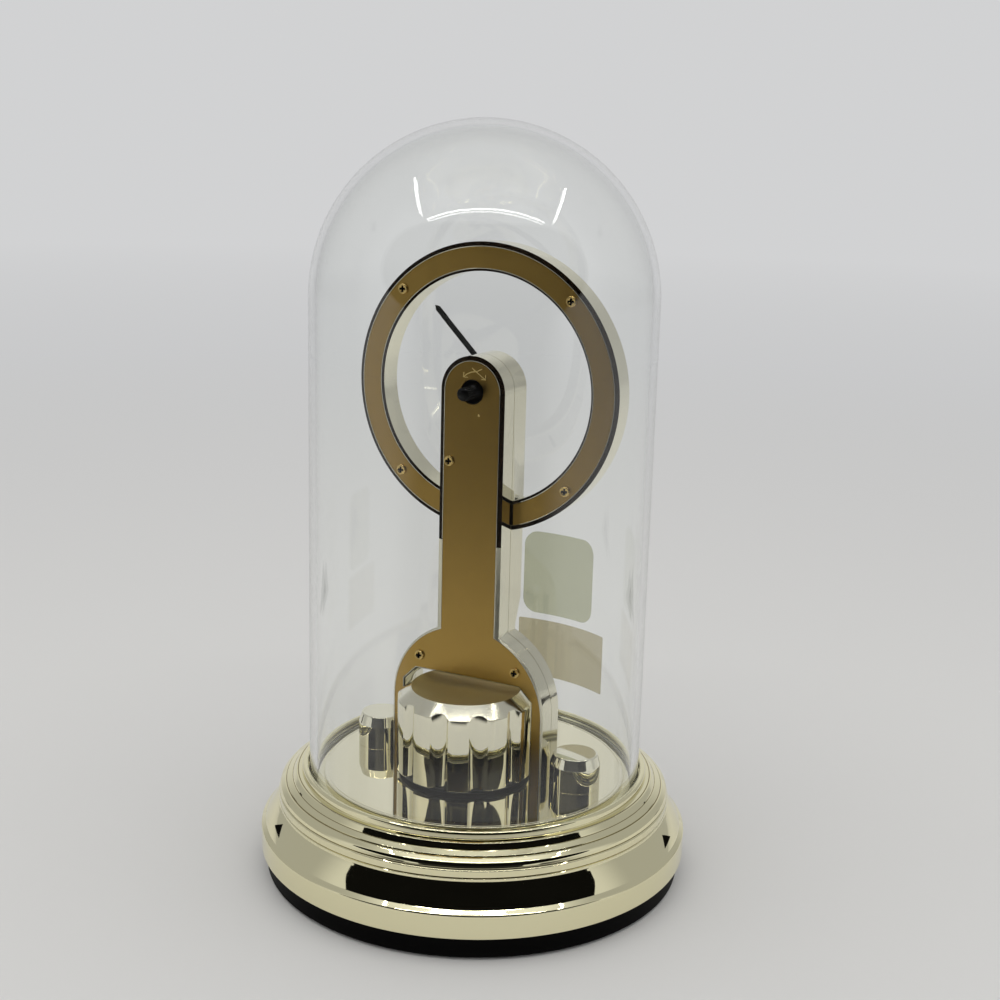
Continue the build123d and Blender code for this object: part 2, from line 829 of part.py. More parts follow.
def pillar_gap(side_gap, y_low, y_high):
    """The slot that the pillar takes out of the foot of the ring."""
    half = pillar_half_width + side_gap
    low = ring_centre_z - ring_outer_radius - cut_over
    return block(-half, half, y_low - cut_over, y_high + cut_over, low, ring_centre_z)


def tongue(side, gap):
    """A tongue at one end of the ring that enters the pillar's side."""
    outer = pillar_half_width + ring_wall
    inner = pillar_half_width - ring_tongue_length - gap
    middle_y = (column_front_y + parting_y) / 2
    half = ring_tongue_width / 2 + gap
    middle_radius = (ring_outer_radius + ring_inner_radius) / 2
    middle_z = ring_centre_z - math.sqrt(middle_radius ** 2 - pillar_half_width ** 2)
    tall = ring_tongue_height / 2 + gap
    x_pair = sorted((side * inner, side * outer))
    return block(*x_pair, middle_y - half, middle_y + half, middle_z - tall, middle_z + tall)


def ring_screw_places():
    """Where four screws hold the ring's rear cover, as X and Z pairs."""
    places = ring_places(ring_screw_count, ring_screw_radius, ring_screw_angle)
    return [(x, ring_centre_z + z) for x, z in places]


def make_dial_ring():
    """The ring moulding: a channel open at the back, with the dial recess in front."""
    outer = ring_outer_radius
    inner = ring_inner_radius
    recess_y = column_front_y + dial_thickness
    floor_y = recess_y + ring_wall
    pocket_outer = outer - ring_outer_bevel - rim_land
    pocket_inner = inner + ring_inner_bevel + rim_land
    channel_outer = pocket_outer - ring_wall / 2
    channel_inner = pocket_inner + ring_wall / 2
    points = [(inner, column_front_y), (inner + ring_rim, column_front_y), (inner + ring_rim, recess_y)]
    points += [(outer - ring_rim, recess_y), (outer - ring_rim, column_front_y), (outer, column_front_y)]
    points += [(outer, -bevel_depth), (outer - ring_outer_bevel, 0), (pocket_outer, 0)]
    points += [(pocket_outer, -cover_thickness), (channel_outer, -cover_thickness)]
    points += [(channel_outer, floor_y), (channel_inner, floor_y), (channel_inner, -cover_thickness)]
    points += [(pocket_inner, -cover_thickness), (pocket_inner, 0), (inner + ring_inner_bevel, 0)]
    points += [(inner, -bevel_depth)]
    ring = turned_y(points, ring_centre_z)
    for x, z in ring_screw_places():
        ring += rod_y(ring_boss_radius, x, z, floor_y - ring_wall / 2, -cover_thickness)
    for x, z in ring_screw_places():
        low = -cover_screw_length - screw_hole_spare
        ring -= rod_y(cover_screw_radius + screw_gap, x, z, low, cut_over)
    ring -= pillar_gap(ring_pillar_gap, column_front_y, parting_y)
    half = pillar_half_width + ring_pillar_gap
    wall = ring_centre_z - ring_outer_radius
    end = flat_rect(half, half + ring_wall, wall, ring_centre_z)
    band = Circle(channel_outer + ring_wall / 4) - Circle(channel_inner - ring_wall / 4)
    end &= Pos(0, ring_centre_z) * band
    for flipped in (0, half_turn):
        cap = slab(end, floor_y - ring_wall / 2, -cover_thickness)
        ring += cap if flipped == 0 else mirror(cap, Plane.YZ)
    for side in (-1, 1):
        ring += tongue(side, 0)
    return ring


def make_ring_cover():
    """The satin plate let into the back of the ring."""
    outer = ring_outer_radius - ring_outer_bevel - rim_land - cover_gap
    inner = ring_inner_radius + ring_inner_bevel + rim_land + cover_gap
    outline = Pos(0, ring_centre_z) * (Circle(outer) - Circle(inner))
    for x, z in ring_screw_places():
        outline -= Pos(x, z) * Circle(cover_screw_radius + screw_gap)
    cover = slab(outline, parting_y - cover_thickness, parting_y)
    return cover - pillar_gap(ring_pillar_gap + cover_gap, parting_y - cover_thickness, parting_y)


def make_ring_screws():
    """Four screws that hold the ring's rear cover."""
    piece = screw(cover_screw_radius, cover_screw_length, cover_screw_head_radius, cover_screw_head_height)
    piece = Rot(-quarter_turn, 0, 0) * piece
    return [Pos(x, parting_y, z) * piece for x, z in ring_screw_places()]


def make_dial_plate():
    """The flat chapter ring on the front."""
    outer = ring_outer_radius - ring_rim - dial_gap
    inner = ring_inner_radius + ring_rim + dial_gap
    outline = Pos(0, ring_centre_z) * (Circle(outer) - Circle(inner))
    return slab(outline, column_front_y, column_front_y + dial_thickness)


def make_markers():
    """Twelve plain hour marks on the chapter ring."""
    middle = (ring_outer_radius + ring_inner_radius) / 2
    mark = Pos(0, middle) * Rectangle(marker_width, marker_length)
    marks = []
    for index in range(marker_count):
        turned_mark = Rot(0, 0, full_turn * index / marker_count) * mark
        outline = Pos(0, ring_centre_z) * turned_mark
        marks.append(slab(outline, column_front_y - marker_height, column_front_y))
    return marks


# Hands and motion works

def gear_outline(teeth, distance_share, tooth_first):
    """Straight-sided teeth round a pitch circle, drawn about the origin, a tooth or a gap at +Z."""
    pitch = gear_centre_distance * distance_share
    module = 2 * pitch / teeth
    tip = pitch + module * addendum_share
    root = pitch - module * dedendum_share
    step = full_turn / teeth
    first = 0 if tooth_first else step / 2
    shares = (-tooth_root_share / 2, -tooth_tip_share / 2, tooth_tip_share / 2, tooth_root_share / 2)
    radii = (root, tip, tip, root)
    points = []
    for index in range(teeth):
        for share, radius in zip(shares, radii):
            angle = math.radians(quarter_turn - first - step * (index + share))
            points.append((radius * math.cos(angle), radius * math.sin(angle)))
    return make_face(Polyline(*points, close=True))


def hand_outline(length, width, tail):
    """A plain pointed bar that points to +Z."""
    half = width / 2
    shoulder = length - width * hand_point_share
    points = [(-half, -tail), (half, -tail), (half, shoulder), (0, length), (-half, shoulder)]
    return make_face(Polyline(*points, close=True))


def make_hand(length, width, tail, boss_radius, bore, angle, y):
    """One hand with its round boss."""
    outline = hand_outline(length, width, tail) + Circle(boss_radius) - Circle(bore)
    outline = Pos(0, ring_centre_z) * (Rot(0, 0, -angle) * outline)
    return slab(outline, y - hand_thickness, y)


def make_hour_wheel():
    """The hour wheel and the tube that carries the hour hand."""
    share = hour_wheel_teeth / (hour_wheel_teeth + motion_pinion_teeth)
    wheel = Rot(0, 0, half_turn) * gear_outline(hour_wheel_teeth, share, False)
    piece = slab(Pos(0, ring_centre_z) * wheel, hour_wheel_y, hour_wheel_y + gear_thickness)
    front = hour_hand_y - hand_thickness
    piece += rod_y(tube_radius, 0, ring_centre_z, front, hour_wheel_y + gear_thickness)
    bore = arbor_radius + run_clearance
    return piece - rod_y(bore, 0, ring_centre_z, front - cut_over, cannon_y)


def make_minute_arbor():
    """The minute arbor with its cannon pinion."""
    share = cannon_teeth / (cannon_teeth + motion_wheel_teeth)
    pinion = Rot(0, 0, half_turn) * gear_outline(cannon_teeth, share, True)
    piece = slab(Pos(0, ring_centre_z) * pinion, cannon_y, cannon_y + gear_thickness)
    rear = movement_rear_y + knob_rear_gap + knob_reach
    return piece + rod_y(arbor_radius, 0, ring_centre_z, minute_hand_y - hand_thickness, rear)


def make_motion_wheel():
    """The motion wheel, its pinion and its arbor, moulded in one."""
    wheel_share = motion_wheel_teeth / (cannon_teeth + motion_wheel_teeth)
    pinion_share = motion_pinion_teeth / (hour_wheel_teeth + motion_pinion_teeth)
    centre = Pos(0, ring_centre_z - gear_centre_distance)
    wheel = centre * gear_outline(motion_wheel_teeth, wheel_share, False)
    pinion = centre * gear_outline(motion_pinion_teeth, pinion_share, True)
    piece = slab(wheel, cannon_y, cannon_y + gear_thickness)
    piece += slab(pinion, hour_wheel_y, cannon_y)
    low = movement_front_y + run_clearance
    high = mid_plate_y + movement_plate
    return piece + rod_y(motion_arbor_radius, 0, ring_centre_z - gear_centre_distance, low, high)


def make_hand_cap():
    """The small cap that closes the minute hand."""
    low = minute_hand_y - hand_thickness - hand_cap_height
    cap = rod_y(hand_cap_radius, 0, ring_centre_z, low, minute_hand_y - hand_thickness)
    return fillet(cap.edges().group_by(Axis.Y)[0], hand_cap_height / 2)


def make_knob():
    """The black setting knob at the back, on the end of the minute arbor."""
    low = movement_rear_y + knob_rear_gap
    high = column_rear_y + knob_reach
    knob = rod_y(knob_radius, 0, ring_centre_z, low, high)
    knob = chamfer(knob.edges().group_by(Axis.Y)[-1], knob_grip_radius)
    knob += rod_y(knob_flange_radius, 0, ring_centre_z, low, low + knob_flange_thickness)
    for x, z in ring_places(knob_grip_count, knob_radius, 0):
        grip_low = high - knob_grip_length
        knob -= rod_y(knob_grip_radius, x, ring_centre_z + z, grip_low, high + cut_over)
    bore_top = movement_rear_y + knob_rear_gap + knob_reach
    return knob - rod_y(arbor_radius, 0, ring_centre_z, low - cut_over, bore_top)


# Movement

def movement_outline(inset):
    """The rounded outline of the movement."""
    half = movement_half_width - inset
    arch = Pos(0, ring_centre_z) * Circle(half)
    return flat_rect(-half, half, movement_low_z + inset, ring_centre_z) + arch


def make_movement_plate():
    """The movement's front plate with the bush that passes through the column."""
    plate = slab(movement_outline(0), movement_front_y, plate_rear_y)
    plate += rod_y(bush_radius, 0, ring_centre_z, column_front_y - nut_height, plate_rear_y)
    bore = tube_radius + run_clearance
    plate -= rod_y(bore, 0, ring_centre_z, column_front_y - 2 * nut_height, plate_rear_y + cut_over)
    pivot = motion_arbor_radius + run_clearance
    low = movement_front_y - cut_over
    plate -= rod_y(pivot, 0, ring_centre_z - gear_centre_distance, low, plate_rear_y + cut_over)
    return plate


def make_bush_nut():
    """The round nut that holds the movement to the front of the column."""
    nut = rod_y(nut_radius, 0, ring_centre_z, column_front_y - nut_height, column_front_y)
    bore = rod_y(bush_radius, 0, ring_centre_z, column_front_y - 2 * nut_height, column_front_y + cut_over)
    nut = chamfer(nut.edges().group_by(Axis.Y)[0], nut_height / 4)
    return nut - bore


def make_movement_case():
    """The movement's case, a cup that closes on the front plate."""
    case = slab(movement_outline(0), plate_rear_y, movement_rear_y)
    inside = movement_outline(movement_wall)
    case -= slab(inside, plate_rear_y - cut_over, movement_rear_y - movement_wall)
    hole = arbor_radius + loose_clearance
    return case - rod_y(hole, 0, ring_centre_z, plate_rear_y, movement_rear_y + cut_over)


def make_mid_plate():
    """The inner plate that carries the rear ends of the arbors, on three spacers."""
    outline = movement_outline(movement_wall + cover_gap)
    plate = slab(outline, mid_plate_y, mid_plate_y + movement_plate)
    low_z = movement_low_z + spacer_rise
    high_z = ring_centre_z + movement_half_width - 2 * movement_wall
    for x, z in ((-spacer_x, low_z), (spacer_x, low_z), (0, high_z)):
        plate += rod_y(spacer_radius, x, z, plate_rear_y, mid_plate_y)
    reach = mid_plate_y + movement_plate + cut_over
    plate -= rod_y(arbor_radius + run_clearance, 0, ring_centre_z, mid_plate_y - cut_over, reach)
    pivot = motion_arbor_radius + run_clearance
    pivot_z = ring_centre_z - gear_centre_distance
    return plate - rod_y(pivot, 0, pivot_z, mid_plate_y - cut_over, reach)


def make_circuit():
    """The movement's circuit board, on the case's rear wall."""
    half = movement_half_width - movement_wall - circuit_side_gap
    low = movement_low_z + movement_wall + circuit_side_gap
    rear = movement_rear_y - movement_wall
    return slab(flat_rect(-half, half, low, low + circuit_height), rear - circuit_thickness, rear)


def stator_middle_z():
    """The height of the motor's middle."""
    return movement_low_z + movement_wall + stator_rise + stator_height / 2


def make_stator():
    """The flat stator of the stepping motor, on the inner plate."""
    z = stator_middle_z()
    outline = Pos(0, z) * Rectangle(stator_width, stator_height)
    outline -= Pos(stator_width / 4, z + stator_height / 4) * Circle(rotor_hole_radius)
    low = mid_plate_y + movement_plate
    return slab(outline, low, low + stator_thickness)


def make_motor_coil():
    """The wound coil of the stepping motor, on its core."""
    y = mid_plate_y + movement_plate + stator_thickness + motor_coil_radius
    z = stator_middle_z() - stator_height / 4
    half = motor_coil_length / 2
    coil = rod_x(motor_coil_radius, -half, half, y, z)
    return coil + rod_x(motor_core_radius, -stator_width / 2, stator_width / 2, y, z)


# Pendulum

def flute_cutter():
    """One long round cutter for the drum's flutes, at the +X side."""
    half_chord = drum_radius * math.sin(math.radians(flute_half_angle))
    chord_radius = drum_radius * math.cos(math.radians(flute_half_angle))
    depth = flute_depth - (drum_radius - chord_radius)
    radius = half_chord ** 2 / (2 * depth) + depth / 2
    x = chord_radius - depth + radius
    return rod_z(radius, x, 0, drum_low_z - cut_over, drum_top_z + cut_over)


def make_drum():
    """The fluted drum of the pendulum, hollow below."""
    points = [(0, drum_low_z), (drum_radius, drum_low_z), (drum_radius, drum_cone_z)]
    points += [(drum_top_radius, drum_top_z), (0, drum_top_z)]
    drum = turned(points)
    for index in range(flute_count):
        angle = flute_first_angle + full_turn * index / flute_count
        drum -= Rot(0, 0, angle) * flute_cutter()
    inner = drum_radius - drum_wall
    ceiling = drum_top_z - drum_top_plate
    cone_inner = drum_top_radius - drum_wall
    hollow = [(0, drum_low_z - cut_over), (inner, drum_low_z - cut_over)]
    hollow += [(inner, drum_cone_z - drum_wall / 2), (cone_inner, ceiling), (0, ceiling)]
    return Pos(0, drum_axis_y, 0) * (drum - turned(hollow))


def make_drum_ring():
    """The black turntable under the drum."""
    low = deck_top_z + drum_deck_gap
    inner = drum_radius - drum_wall - drum_plug_gap
    top = drum_low_z + drum_plug_height
    points = [(0, low), (drum_ring_radius, low), (drum_ring_radius, drum_low_z)]
    points += [(inner, drum_low_z), (inner, top), (spindle_hub_radius, top)]
    points += [(spindle_hub_radius, drum_low_z + spindle_hub_height), (0, drum_low_z + spindle_hub_height)]
    ring = turned(points) - rod_z(spindle_radius, 0, 0, low - cut_over, drum_top_z)
    return Pos(0, drum_axis_y, 0) * ring


def make_spindle():
    """The steel spindle that the pendulum turns on."""
    top = drum_low_z + spindle_hub_height
    spindle = rod_z(spindle_radius, 0, drum_axis_y, spindle_low_z, top)
    return fillet(spindle.edges().group_by(Axis.Z)[0], spindle_radius / 2)


def make_magnets():
    """Two magnets on the turntable, over the drive coil."""
    low = drum_low_z + drum_plug_height
    magnets = []
    for side in (-1, 1):
        magnets.append(rod_z(magnet_radius, side * magnet_offset, drum_axis_y, low, low + magnet_height))
    return magnets


def make_pivot_cup():
    """The brass cup in the base that the spindle stands in."""
    low = plate_low_z - pivot_cup_depth
    cup = rod_z(pivot_cup_radius, 0, drum_axis_y, low, deck_top_z)
    cup += rod_z(pivot_flange_radius, 0, drum_axis_y, plate_low_z - pivot_flange_thickness, plate_low_z)
    bore = spindle_radius + run_clearance
    floor = spindle_low_z - run_clearance
    return cup - rod_z(bore, 0, drum_axis_y, floor, deck_top_z + cut_over)


# Drive and battery

def make_drive_coil():
    """The flat coil under the deck that pushes the magnets."""
    x = -magnet_offset
    coil = rod_z(drive_coil_radius, x, drum_axis_y, board_top_z, plate_low_z)
    return coil - rod_z(drive_coil_hole_radius, x, drum_axis_y, board_top_z, plate_low_z)


def make_drive_board():
    """The circuit board that runs the pendulum and feeds the movement."""
    half = board_half_width
    board = block(-half, half, board_front_y, board_rear_y, board_low_z, board_top_z)
    for x, y in standoff_places():
        board -= rod_z(cover_screw_radius + screw_gap, x, y, board_low_z - cut_over, board_top_z + cut_over)
    return board


def make_board_screws():
    """Two screws that hold the drive board."""
    piece = screw(cover_screw_radius, board_screw_length, cover_screw_head_radius, cover_screw_head_height)
    piece = Rot(half_turn, 0, 0) * piece
    return [Pos(x, y, board_low_z) * piece for x, y in standoff_places()]


def make_leg_screws():
    """Four screws that hold the column from inside the base."""
    piece = screw(leg_screw_radius, leg_screw_length, leg_screw_head_radius, leg_screw_head_height)
    piece = Rot(half_turn, 0, 0) * piece
    return [Pos(x, y, plate_low_z) * piece for x, y in leg_screw_places()]


def make_cell():
    """The battery: a dry cell lying along X."""
    half = cell_length / 2
    cell = rod_x(cell_radius, -half, half, cell_y, cell_z)
    cell = chamfer(cell.edges(), cell_gap)
    return cell + rod_x(cell_button_radius, half, half + cell_button_height, cell_y, cell_z)


def make_holder():
    """The box that the cell lies in, open towards the door."""
    half = holder_half_length
    side = cell_radius + cell_gap
    outer = block(-half - holder_wall, half + holder_wall, cell_y - side - holder_wall,
                  cell_y + side + holder_wall, pan_floor_top_z, holder_top_z + holder_wall)
    inner = block(-half, half, cell_y - side, cell_y + side, pan_floor_top_z - cut_over, holder_top_z)
    slots = block(-half, -half + contact_thickness, cell_y - contact_width / 2, cell_y + contact_width / 2,
                  holder_top_z - cut_over, holder_top_z + holder_wall + cut_over)
    return outer - inner - slots - mirror(slots, Plane.YZ)


def make_contacts():
    """Two contact strips that rise from the cell's ends to the drive board."""
    half = holder_half_length
    wide = contact_width / 2
    thick = contact_thickness
    strip = block(-half, -half + thick, cell_y - wide, cell_y + wide, pan_floor_top_z, board_low_z)
    plus = mirror(strip, Plane.YZ)
    bump = rod_x(contact_bump_radius, -half + contact_thickness, -cell_length / 2, cell_y, cell_z)
    return [strip + bump, plus]


def make_door():
    """The battery door, with a tongue along each side and a ribbed grip."""
    half = door_length / 2
    side = door_width / 2
    low = pan_floor_low_z + door_gap
    top = low + door_thickness
    door = block(-half, half, cell_y - side, cell_y + side, low, top)
    wide = side + door_tongue
    door += block(-half, half, cell_y - wide, cell_y + wide, top - door_tongue_thickness, top)
    for index in range(door_grip_count):
        x = half - door_margin - index * door_grip_pitch
        grip = block(x - door_grip_width, x, cell_y - side / 2, cell_y + side / 2, low - cut_over,
                     low + door_grip_depth)
        door -= grip
    return door


save(make_base_shell(), "base_shell")
save(make_base_pan(), "base_pan")
save_group(make_feet(), "foot_pads")
save_group(make_pan_screws(), "pan_screws")
save(make_deck(), "mirror_deck")
save(make_cushion(), "dome_cushion")
post_pair = make_posts()
save(post_pair[0], "left_post")
save(post_pair[1], "right_post")
save_group(make_post_screws(), "post_screws")
save(make_dome(), "glass_dome")
save(film(square_film_width, square_film_height, square_film_low_z, square_film_angle), "square_film")
save(film(label_film_width, label_film_height, label_film_low_z, label_film_angle), "label_film")
save(make_front_shell(), "column_front_shell")
save(make_rear_shell(), "column_rear_shell")
save(make_rear_cover(), "column_rear_cover")
save_group(make_cover_screws(), "column_cover_screws")
save_group(make_leg_screws(), "column_foot_screws")
save(make_dial_ring(), "dial_ring")
save(make_ring_cover(), "ring_rear_cover")
save_group(make_ring_screws(), "ring_cover_screws")
save(make_dial_plate(), "dial_plate")
save_group(make_markers(), "hour_marks")
save(make_movement_plate(), "movement_front_plate")
save(make_movement_case(), "movement_case")
save(make_bush_nut(), "movement_nut")
save(make_mid_plate(), "movement_inner_plate")
save(make_circuit(), "movement_circuit")
save(make_stator(), "motor_stator")
save(make_motor_coil(), "motor_coil")
save(make_hour_wheel(), "hour_wheel")
save(make_hand(hour_hand_length, hour_hand_width, hour_hand_tail, hour_boss_radius, tube_radius,
               hour_hand_angle, hour_hand_y), "hour_hand")
save(make_minute_arbor(), "minute_arbor")
save(make_hand(minute_hand_length, minute_hand_width, minute_hand_tail, minute_boss_radius, arbor_radius,
               minute_hand_angle, minute_hand_y), "minute_hand")
save(make_hand_cap(), "hand_cap")
save(make_knob(), "setting_knob")
save(make_motion_wheel(), "motion_wheel")
save(make_drum(), "pendulum_drum")
save(make_drum_ring(), "pendulum_turntable")
save(make_spindle(), "pendulum_spindle")
save_group(make_magnets(), "pendulum_magnets")
save(make_pivot_cup(), "pivot_cup")
save(make_drive_coil(), "drive_coil")
save(make_drive_board(), "drive_board")
save_group(make_board_screws(), "board_screws")
save(make_holder(), "battery_holder")
save(make_cell(), "battery_cell")
save_group(make_contacts(), "battery_contacts")
save(make_door(), "battery_door")
save(lead_tube(lead_radius), "movement_lead")
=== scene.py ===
import json
import math

import bmesh
import bpy
from mathutils import Matrix, Vector


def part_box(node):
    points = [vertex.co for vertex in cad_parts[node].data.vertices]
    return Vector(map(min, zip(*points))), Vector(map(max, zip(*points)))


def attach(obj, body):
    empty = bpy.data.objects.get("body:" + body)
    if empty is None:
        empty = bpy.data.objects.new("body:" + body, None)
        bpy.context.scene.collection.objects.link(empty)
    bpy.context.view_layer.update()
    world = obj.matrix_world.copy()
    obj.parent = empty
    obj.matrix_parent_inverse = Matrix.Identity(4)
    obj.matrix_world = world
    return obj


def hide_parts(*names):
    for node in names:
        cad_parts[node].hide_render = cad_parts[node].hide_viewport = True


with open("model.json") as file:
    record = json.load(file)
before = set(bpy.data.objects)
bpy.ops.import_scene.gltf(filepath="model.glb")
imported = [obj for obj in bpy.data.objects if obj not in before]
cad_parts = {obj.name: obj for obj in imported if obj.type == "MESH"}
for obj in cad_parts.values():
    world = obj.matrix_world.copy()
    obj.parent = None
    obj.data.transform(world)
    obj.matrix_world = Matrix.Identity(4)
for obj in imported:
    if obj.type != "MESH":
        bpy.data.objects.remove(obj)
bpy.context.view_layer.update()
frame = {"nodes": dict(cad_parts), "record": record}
nodes = frame["nodes"]

MM = 0.001
FULL_TURN = 2 * math.pi

# Camera, solved from the photograph; lengths in metres, angles in degrees
CAMERA_PLACE = (-0.2323, 0.4523, 0.2536)
CAMERA_AZIMUTH = 206.426
CAMERA_ELEVATION = 13.443
CAMERA_ROLL = 1.482
CAMERA_LENS = 55.14
CAMERA_SENSOR = 36.0

# Levels and colours of the studio
PAPER_LEVEL = 0.65
NEAR_PAPER_LEVEL = 0.555
SIDE_LEVEL = 0.62
SIDE_FLOOR_LEVEL = 0.92
FRONT_LEVEL = 0.05
OVERHEAD_LEVEL = 0.98
AMBIENT_LEVEL = 0.80
FLOOR_COLOUR = (0.72, 0.715, 0.70)
PAPER_COLOUR = (0.985, 0.99, 1.0)
WHITE = (1.0, 1.0, 1.0)

# Sizes of the base in mm
BASE_RADIUS = 75.0
BASE_WALL = 2.4
RIM_LOW = 8.4
PAN_RADIUS = 73.0
PAN_LOW = 0.8
PAN_EDGE = 0.9
PAN_RIM_BAND = 0.2
PAN_RIM_HIGH = 0.05
FOOT_RADIUS = 6.0
FOOT_CIRCLE = 62.0
FOOT_HIGH = 1.4
FOOT_EDGE = 0.35
LIP_RADIUS = 60.6
LIP_INNER = 58.5
LIP_HIGH = 38.0
SEAT_Z = 34.9
PLATE_LOW = 33.3
DECK_RADIUS = 53.0
DECK_Z = 36.4
DECK_EDGE = 0.4
DECK_LINE_IN = 1.1
DECK_LINE_HALF = 0.2
DECK_LINE_DEPTH = 0.12
DECK_LINE_ROUND = 0.1
CUSHION_HIGH = 35.6
CUSHION_CLEARANCE = 0.15
CUSHION_EDGE = 0.2
POST_X = 38.6
POST_RADIUS = 8.5
POST_TOP_RADIUS = 7.4
POST_WALL = 8.2
POST_HEIGHT = 11.8
POST_FOOT_ROUND = 0.12
POST_SHOULDER_ROUND = 0.45
POST_TOP_ROUND = 0.5

# Sizes of the dome and its films in mm
DOME_RADIUS = 58.1
DOME_WALL = 2.5
DOME_CENTRE_Z = 200.65
DOME_EDGE = 0.6
FILM_GAP = 0.1
FILM_THICK = 0.15
FILM_STRIPS = 16
SQUARE_FILM_CORNER = 5.5
WIDE_FILM_CORNER = 0.5

# Sizes of the column in mm
PILLAR_HALF = 11.9
BULGE_RADIUS = 29.3
BULGE_Z = 59.8
OPENING_HALF = 24.7
OPENING_TOP = 70.5
OPENING_CORNER = 4.8
COLUMN_REAR = 7.7
PARTING = 0.0
SEAM_WIDTH = 0.12
BEVEL_DEPTH = 0.6
BEVEL_HOLD = 0.3
HEIGHT_HOLD = 0.4
EDGE_SHADE_FROM = 118.5
ARCH_BAND = 1.0
ARCH_FACING = 0.7
COVER_THICK = 1.0
COVER_ROUND = 0.1
PILLAR_EDGE = 1.75
BULGE_EDGE = 0.8
OPENING_EDGE = 0.6
KNOB_HOLE = 4.15

# Sizes of the marks on the column's cover in mm; the arrow lines lie round the knob's axis
MARK_SUNK = 0.05
ARROW_HEIGHT = 0.1
ARROW_HEIGHT_STEP = 0.02
ARROW_WIDTH = 0.34
ARROW_LINES = (
    ((3.2, 4.9), (1.9, 5.9), (0.4, 6.6), (-1.6, 7.0), (-3.6, 7.9)),
    ((0.1, 8.0), (-0.9, 7.2), (-2.4, 6.2), (-3.7, 5.3), (-4.9, 4.6)),
    ((3.1, 6.4), (3.3, 4.8), (1.7, 4.75)),
    ((-5.0, 6.0), (-5.0, 4.5), (-3.4, 4.6)),
)
PIP_PLACE = (-2.8, 162.75)
PIP_RADIUS = 0.4
PIP_HEIGHT = 0.2

# Sizes of the dial ring and the screws in mm
RING_Z = 170.35
RING_FRONT = -9.2
RING_OUTER = 48.75
RING_INNER = 39.1
RING_OUTER_BEVEL = 1.4
RING_INNER_BEVEL = 0.8
RIM_LAND = 0.15
COVER_GAP = 0.1
RING_WALL = 1.4
DIAL_DEPTH = 0.8
DIAL_RIM = 1.0
RING_SLOT_HALF = 11.95
RING_END_SHADE = 12.6
SCREW_HEAD = 0.7
SCREW_RECESS_RADIUS = 1.3
SCREW_RECESS_DEPTH = 0.3
RING_SCREW_RADIUS = 44.3
COLUMN_SCREWS = ((8.1, 146.2), (18.56, 75.59), (-18.56, 75.59))

# Sizes of the pendulum in mm and degrees
DRUM_Y = 7.5
DRUM_RADIUS = 23.8
DRUM_TOP_RADIUS = 19.0
DRUM_WALL = 3.0
DRUM_LOW = 38.4
DRUM_CONE = 63.5
DRUM_TOP = 67.5
DRUM_TOP_PLATE = 2.0
FLUTES = 11
FLUTE_DEPTH = 1.7
FLUTE_HALF_ANGLE = 7.8
FLUTE_FIRST_ANGLE = 96.0
FLUTE_STEPS = 14
LAND_STEPS = 6
DRUM_SHARP_TURN = 0.45
DRUM_WALL_CLEAR = 0.2
DRUM_CONE_NORMALS = (0.3, 0.95)
FLUTE_EDGE = 0.12
TURNTABLE_RADIUS = 22.8
TURNTABLE_LOW = 37.4
PLUG_RADIUS = 20.7
PLUG_HIGH = 41.0
HUB_RADIUS = 4.0
HUB_HIGH = 46.4
TURNTABLE_EDGE = 0.2


# Camera

def make_camera():
    """The camera at the photograph's place and angle."""
    azimuth = math.radians(CAMERA_AZIMUTH)
    elevation = math.radians(CAMERA_ELEVATION)
    level = math.cos(elevation)
    back = Vector((math.sin(azimuth) * level, -math.cos(azimuth) * level, math.sin(elevation)))
    right = Vector((math.cos(azimuth), math.sin(azimuth), 0.0))
    up = back.cross(right)
    turn = Matrix((right, up, back)).transposed().to_4x4()
    data = bpy.data.cameras.new("camera")
    data.lens = CAMERA_LENS
    data.sensor_width = CAMERA_SENSOR
    camera = bpy.data.objects.new("camera", data)
    roll = Matrix.Rotation(math.radians(CAMERA_ROLL), 4, "Z")
    camera.matrix_world = Matrix.Translation(CAMERA_PLACE) @ turn @ roll
    bpy.context.scene.collection.objects.link(camera)
    bpy.context.scene.camera = camera


make_camera()


# Node helpers

def new_material(name):
    """A material with its node tree and its shader."""
    material = bpy.data.materials.new(name)
    material.use_nodes = True
    tree = material.node_tree
    return material, tree, tree.nodes["Principled BSDF"]


def empty_material(name):
    """A material with an empty node tree."""
    material = bpy.data.materials.new(name)
    material.use_nodes = True
    material.node_tree.nodes.clear()
    return material, material.node_tree


def feed(tree, node, values):
    """Give inputs of a node their values: plain ones, or the sockets they are joined to."""
    for name, value in values.items():
        if isinstance(value, bpy.types.NodeSocket):
            tree.links.new(value, node.inputs[name])
        else:
            node.inputs[name].default_value = value
    return node


def add_node(tree, kind, values):
    """A new node with values for its inputs."""
    return feed(tree, tree.nodes.new(kind), values)


def on_piece(tree, scale=(1.0, 1.0, 1.0)):
    """The piece's own coordinates, scaled."""
    place = tree.nodes.new("ShaderNodeTexCoord").outputs["Object"]
    node = add_node(tree, "ShaderNodeMapping", {"Scale": scale, "Vector": place})
    return node.outputs["Vector"]


def noise(tree, vector, scale, detail=3.0, roughness=0.5):
    """Grey noise between zero and one."""
    values = {"Scale": scale, "Detail": detail, "Roughness": roughness, "Vector": vector}
    return add_node(tree, "ShaderNodeTexNoise", values).outputs["Fac"]


def ramp(tree, value, low, high, from_low=0.0, from_high=1.0):
    """A number led from one range to another."""
    values = {"From Min": from_low, "From Max": from_high, "To Min": low, "To Max": high,
              "Value": value}
    return add_node(tree, "ShaderNodeMapRange", values).outputs["Result"]


def smooth_ramp(tree, value, low, high, from_low, from_high):
    """A number led softly from one range to another."""
    result = ramp(tree, value, low, high, from_low, from_high)
    result.node.interpolation_type = "SMOOTHSTEP"
    return result


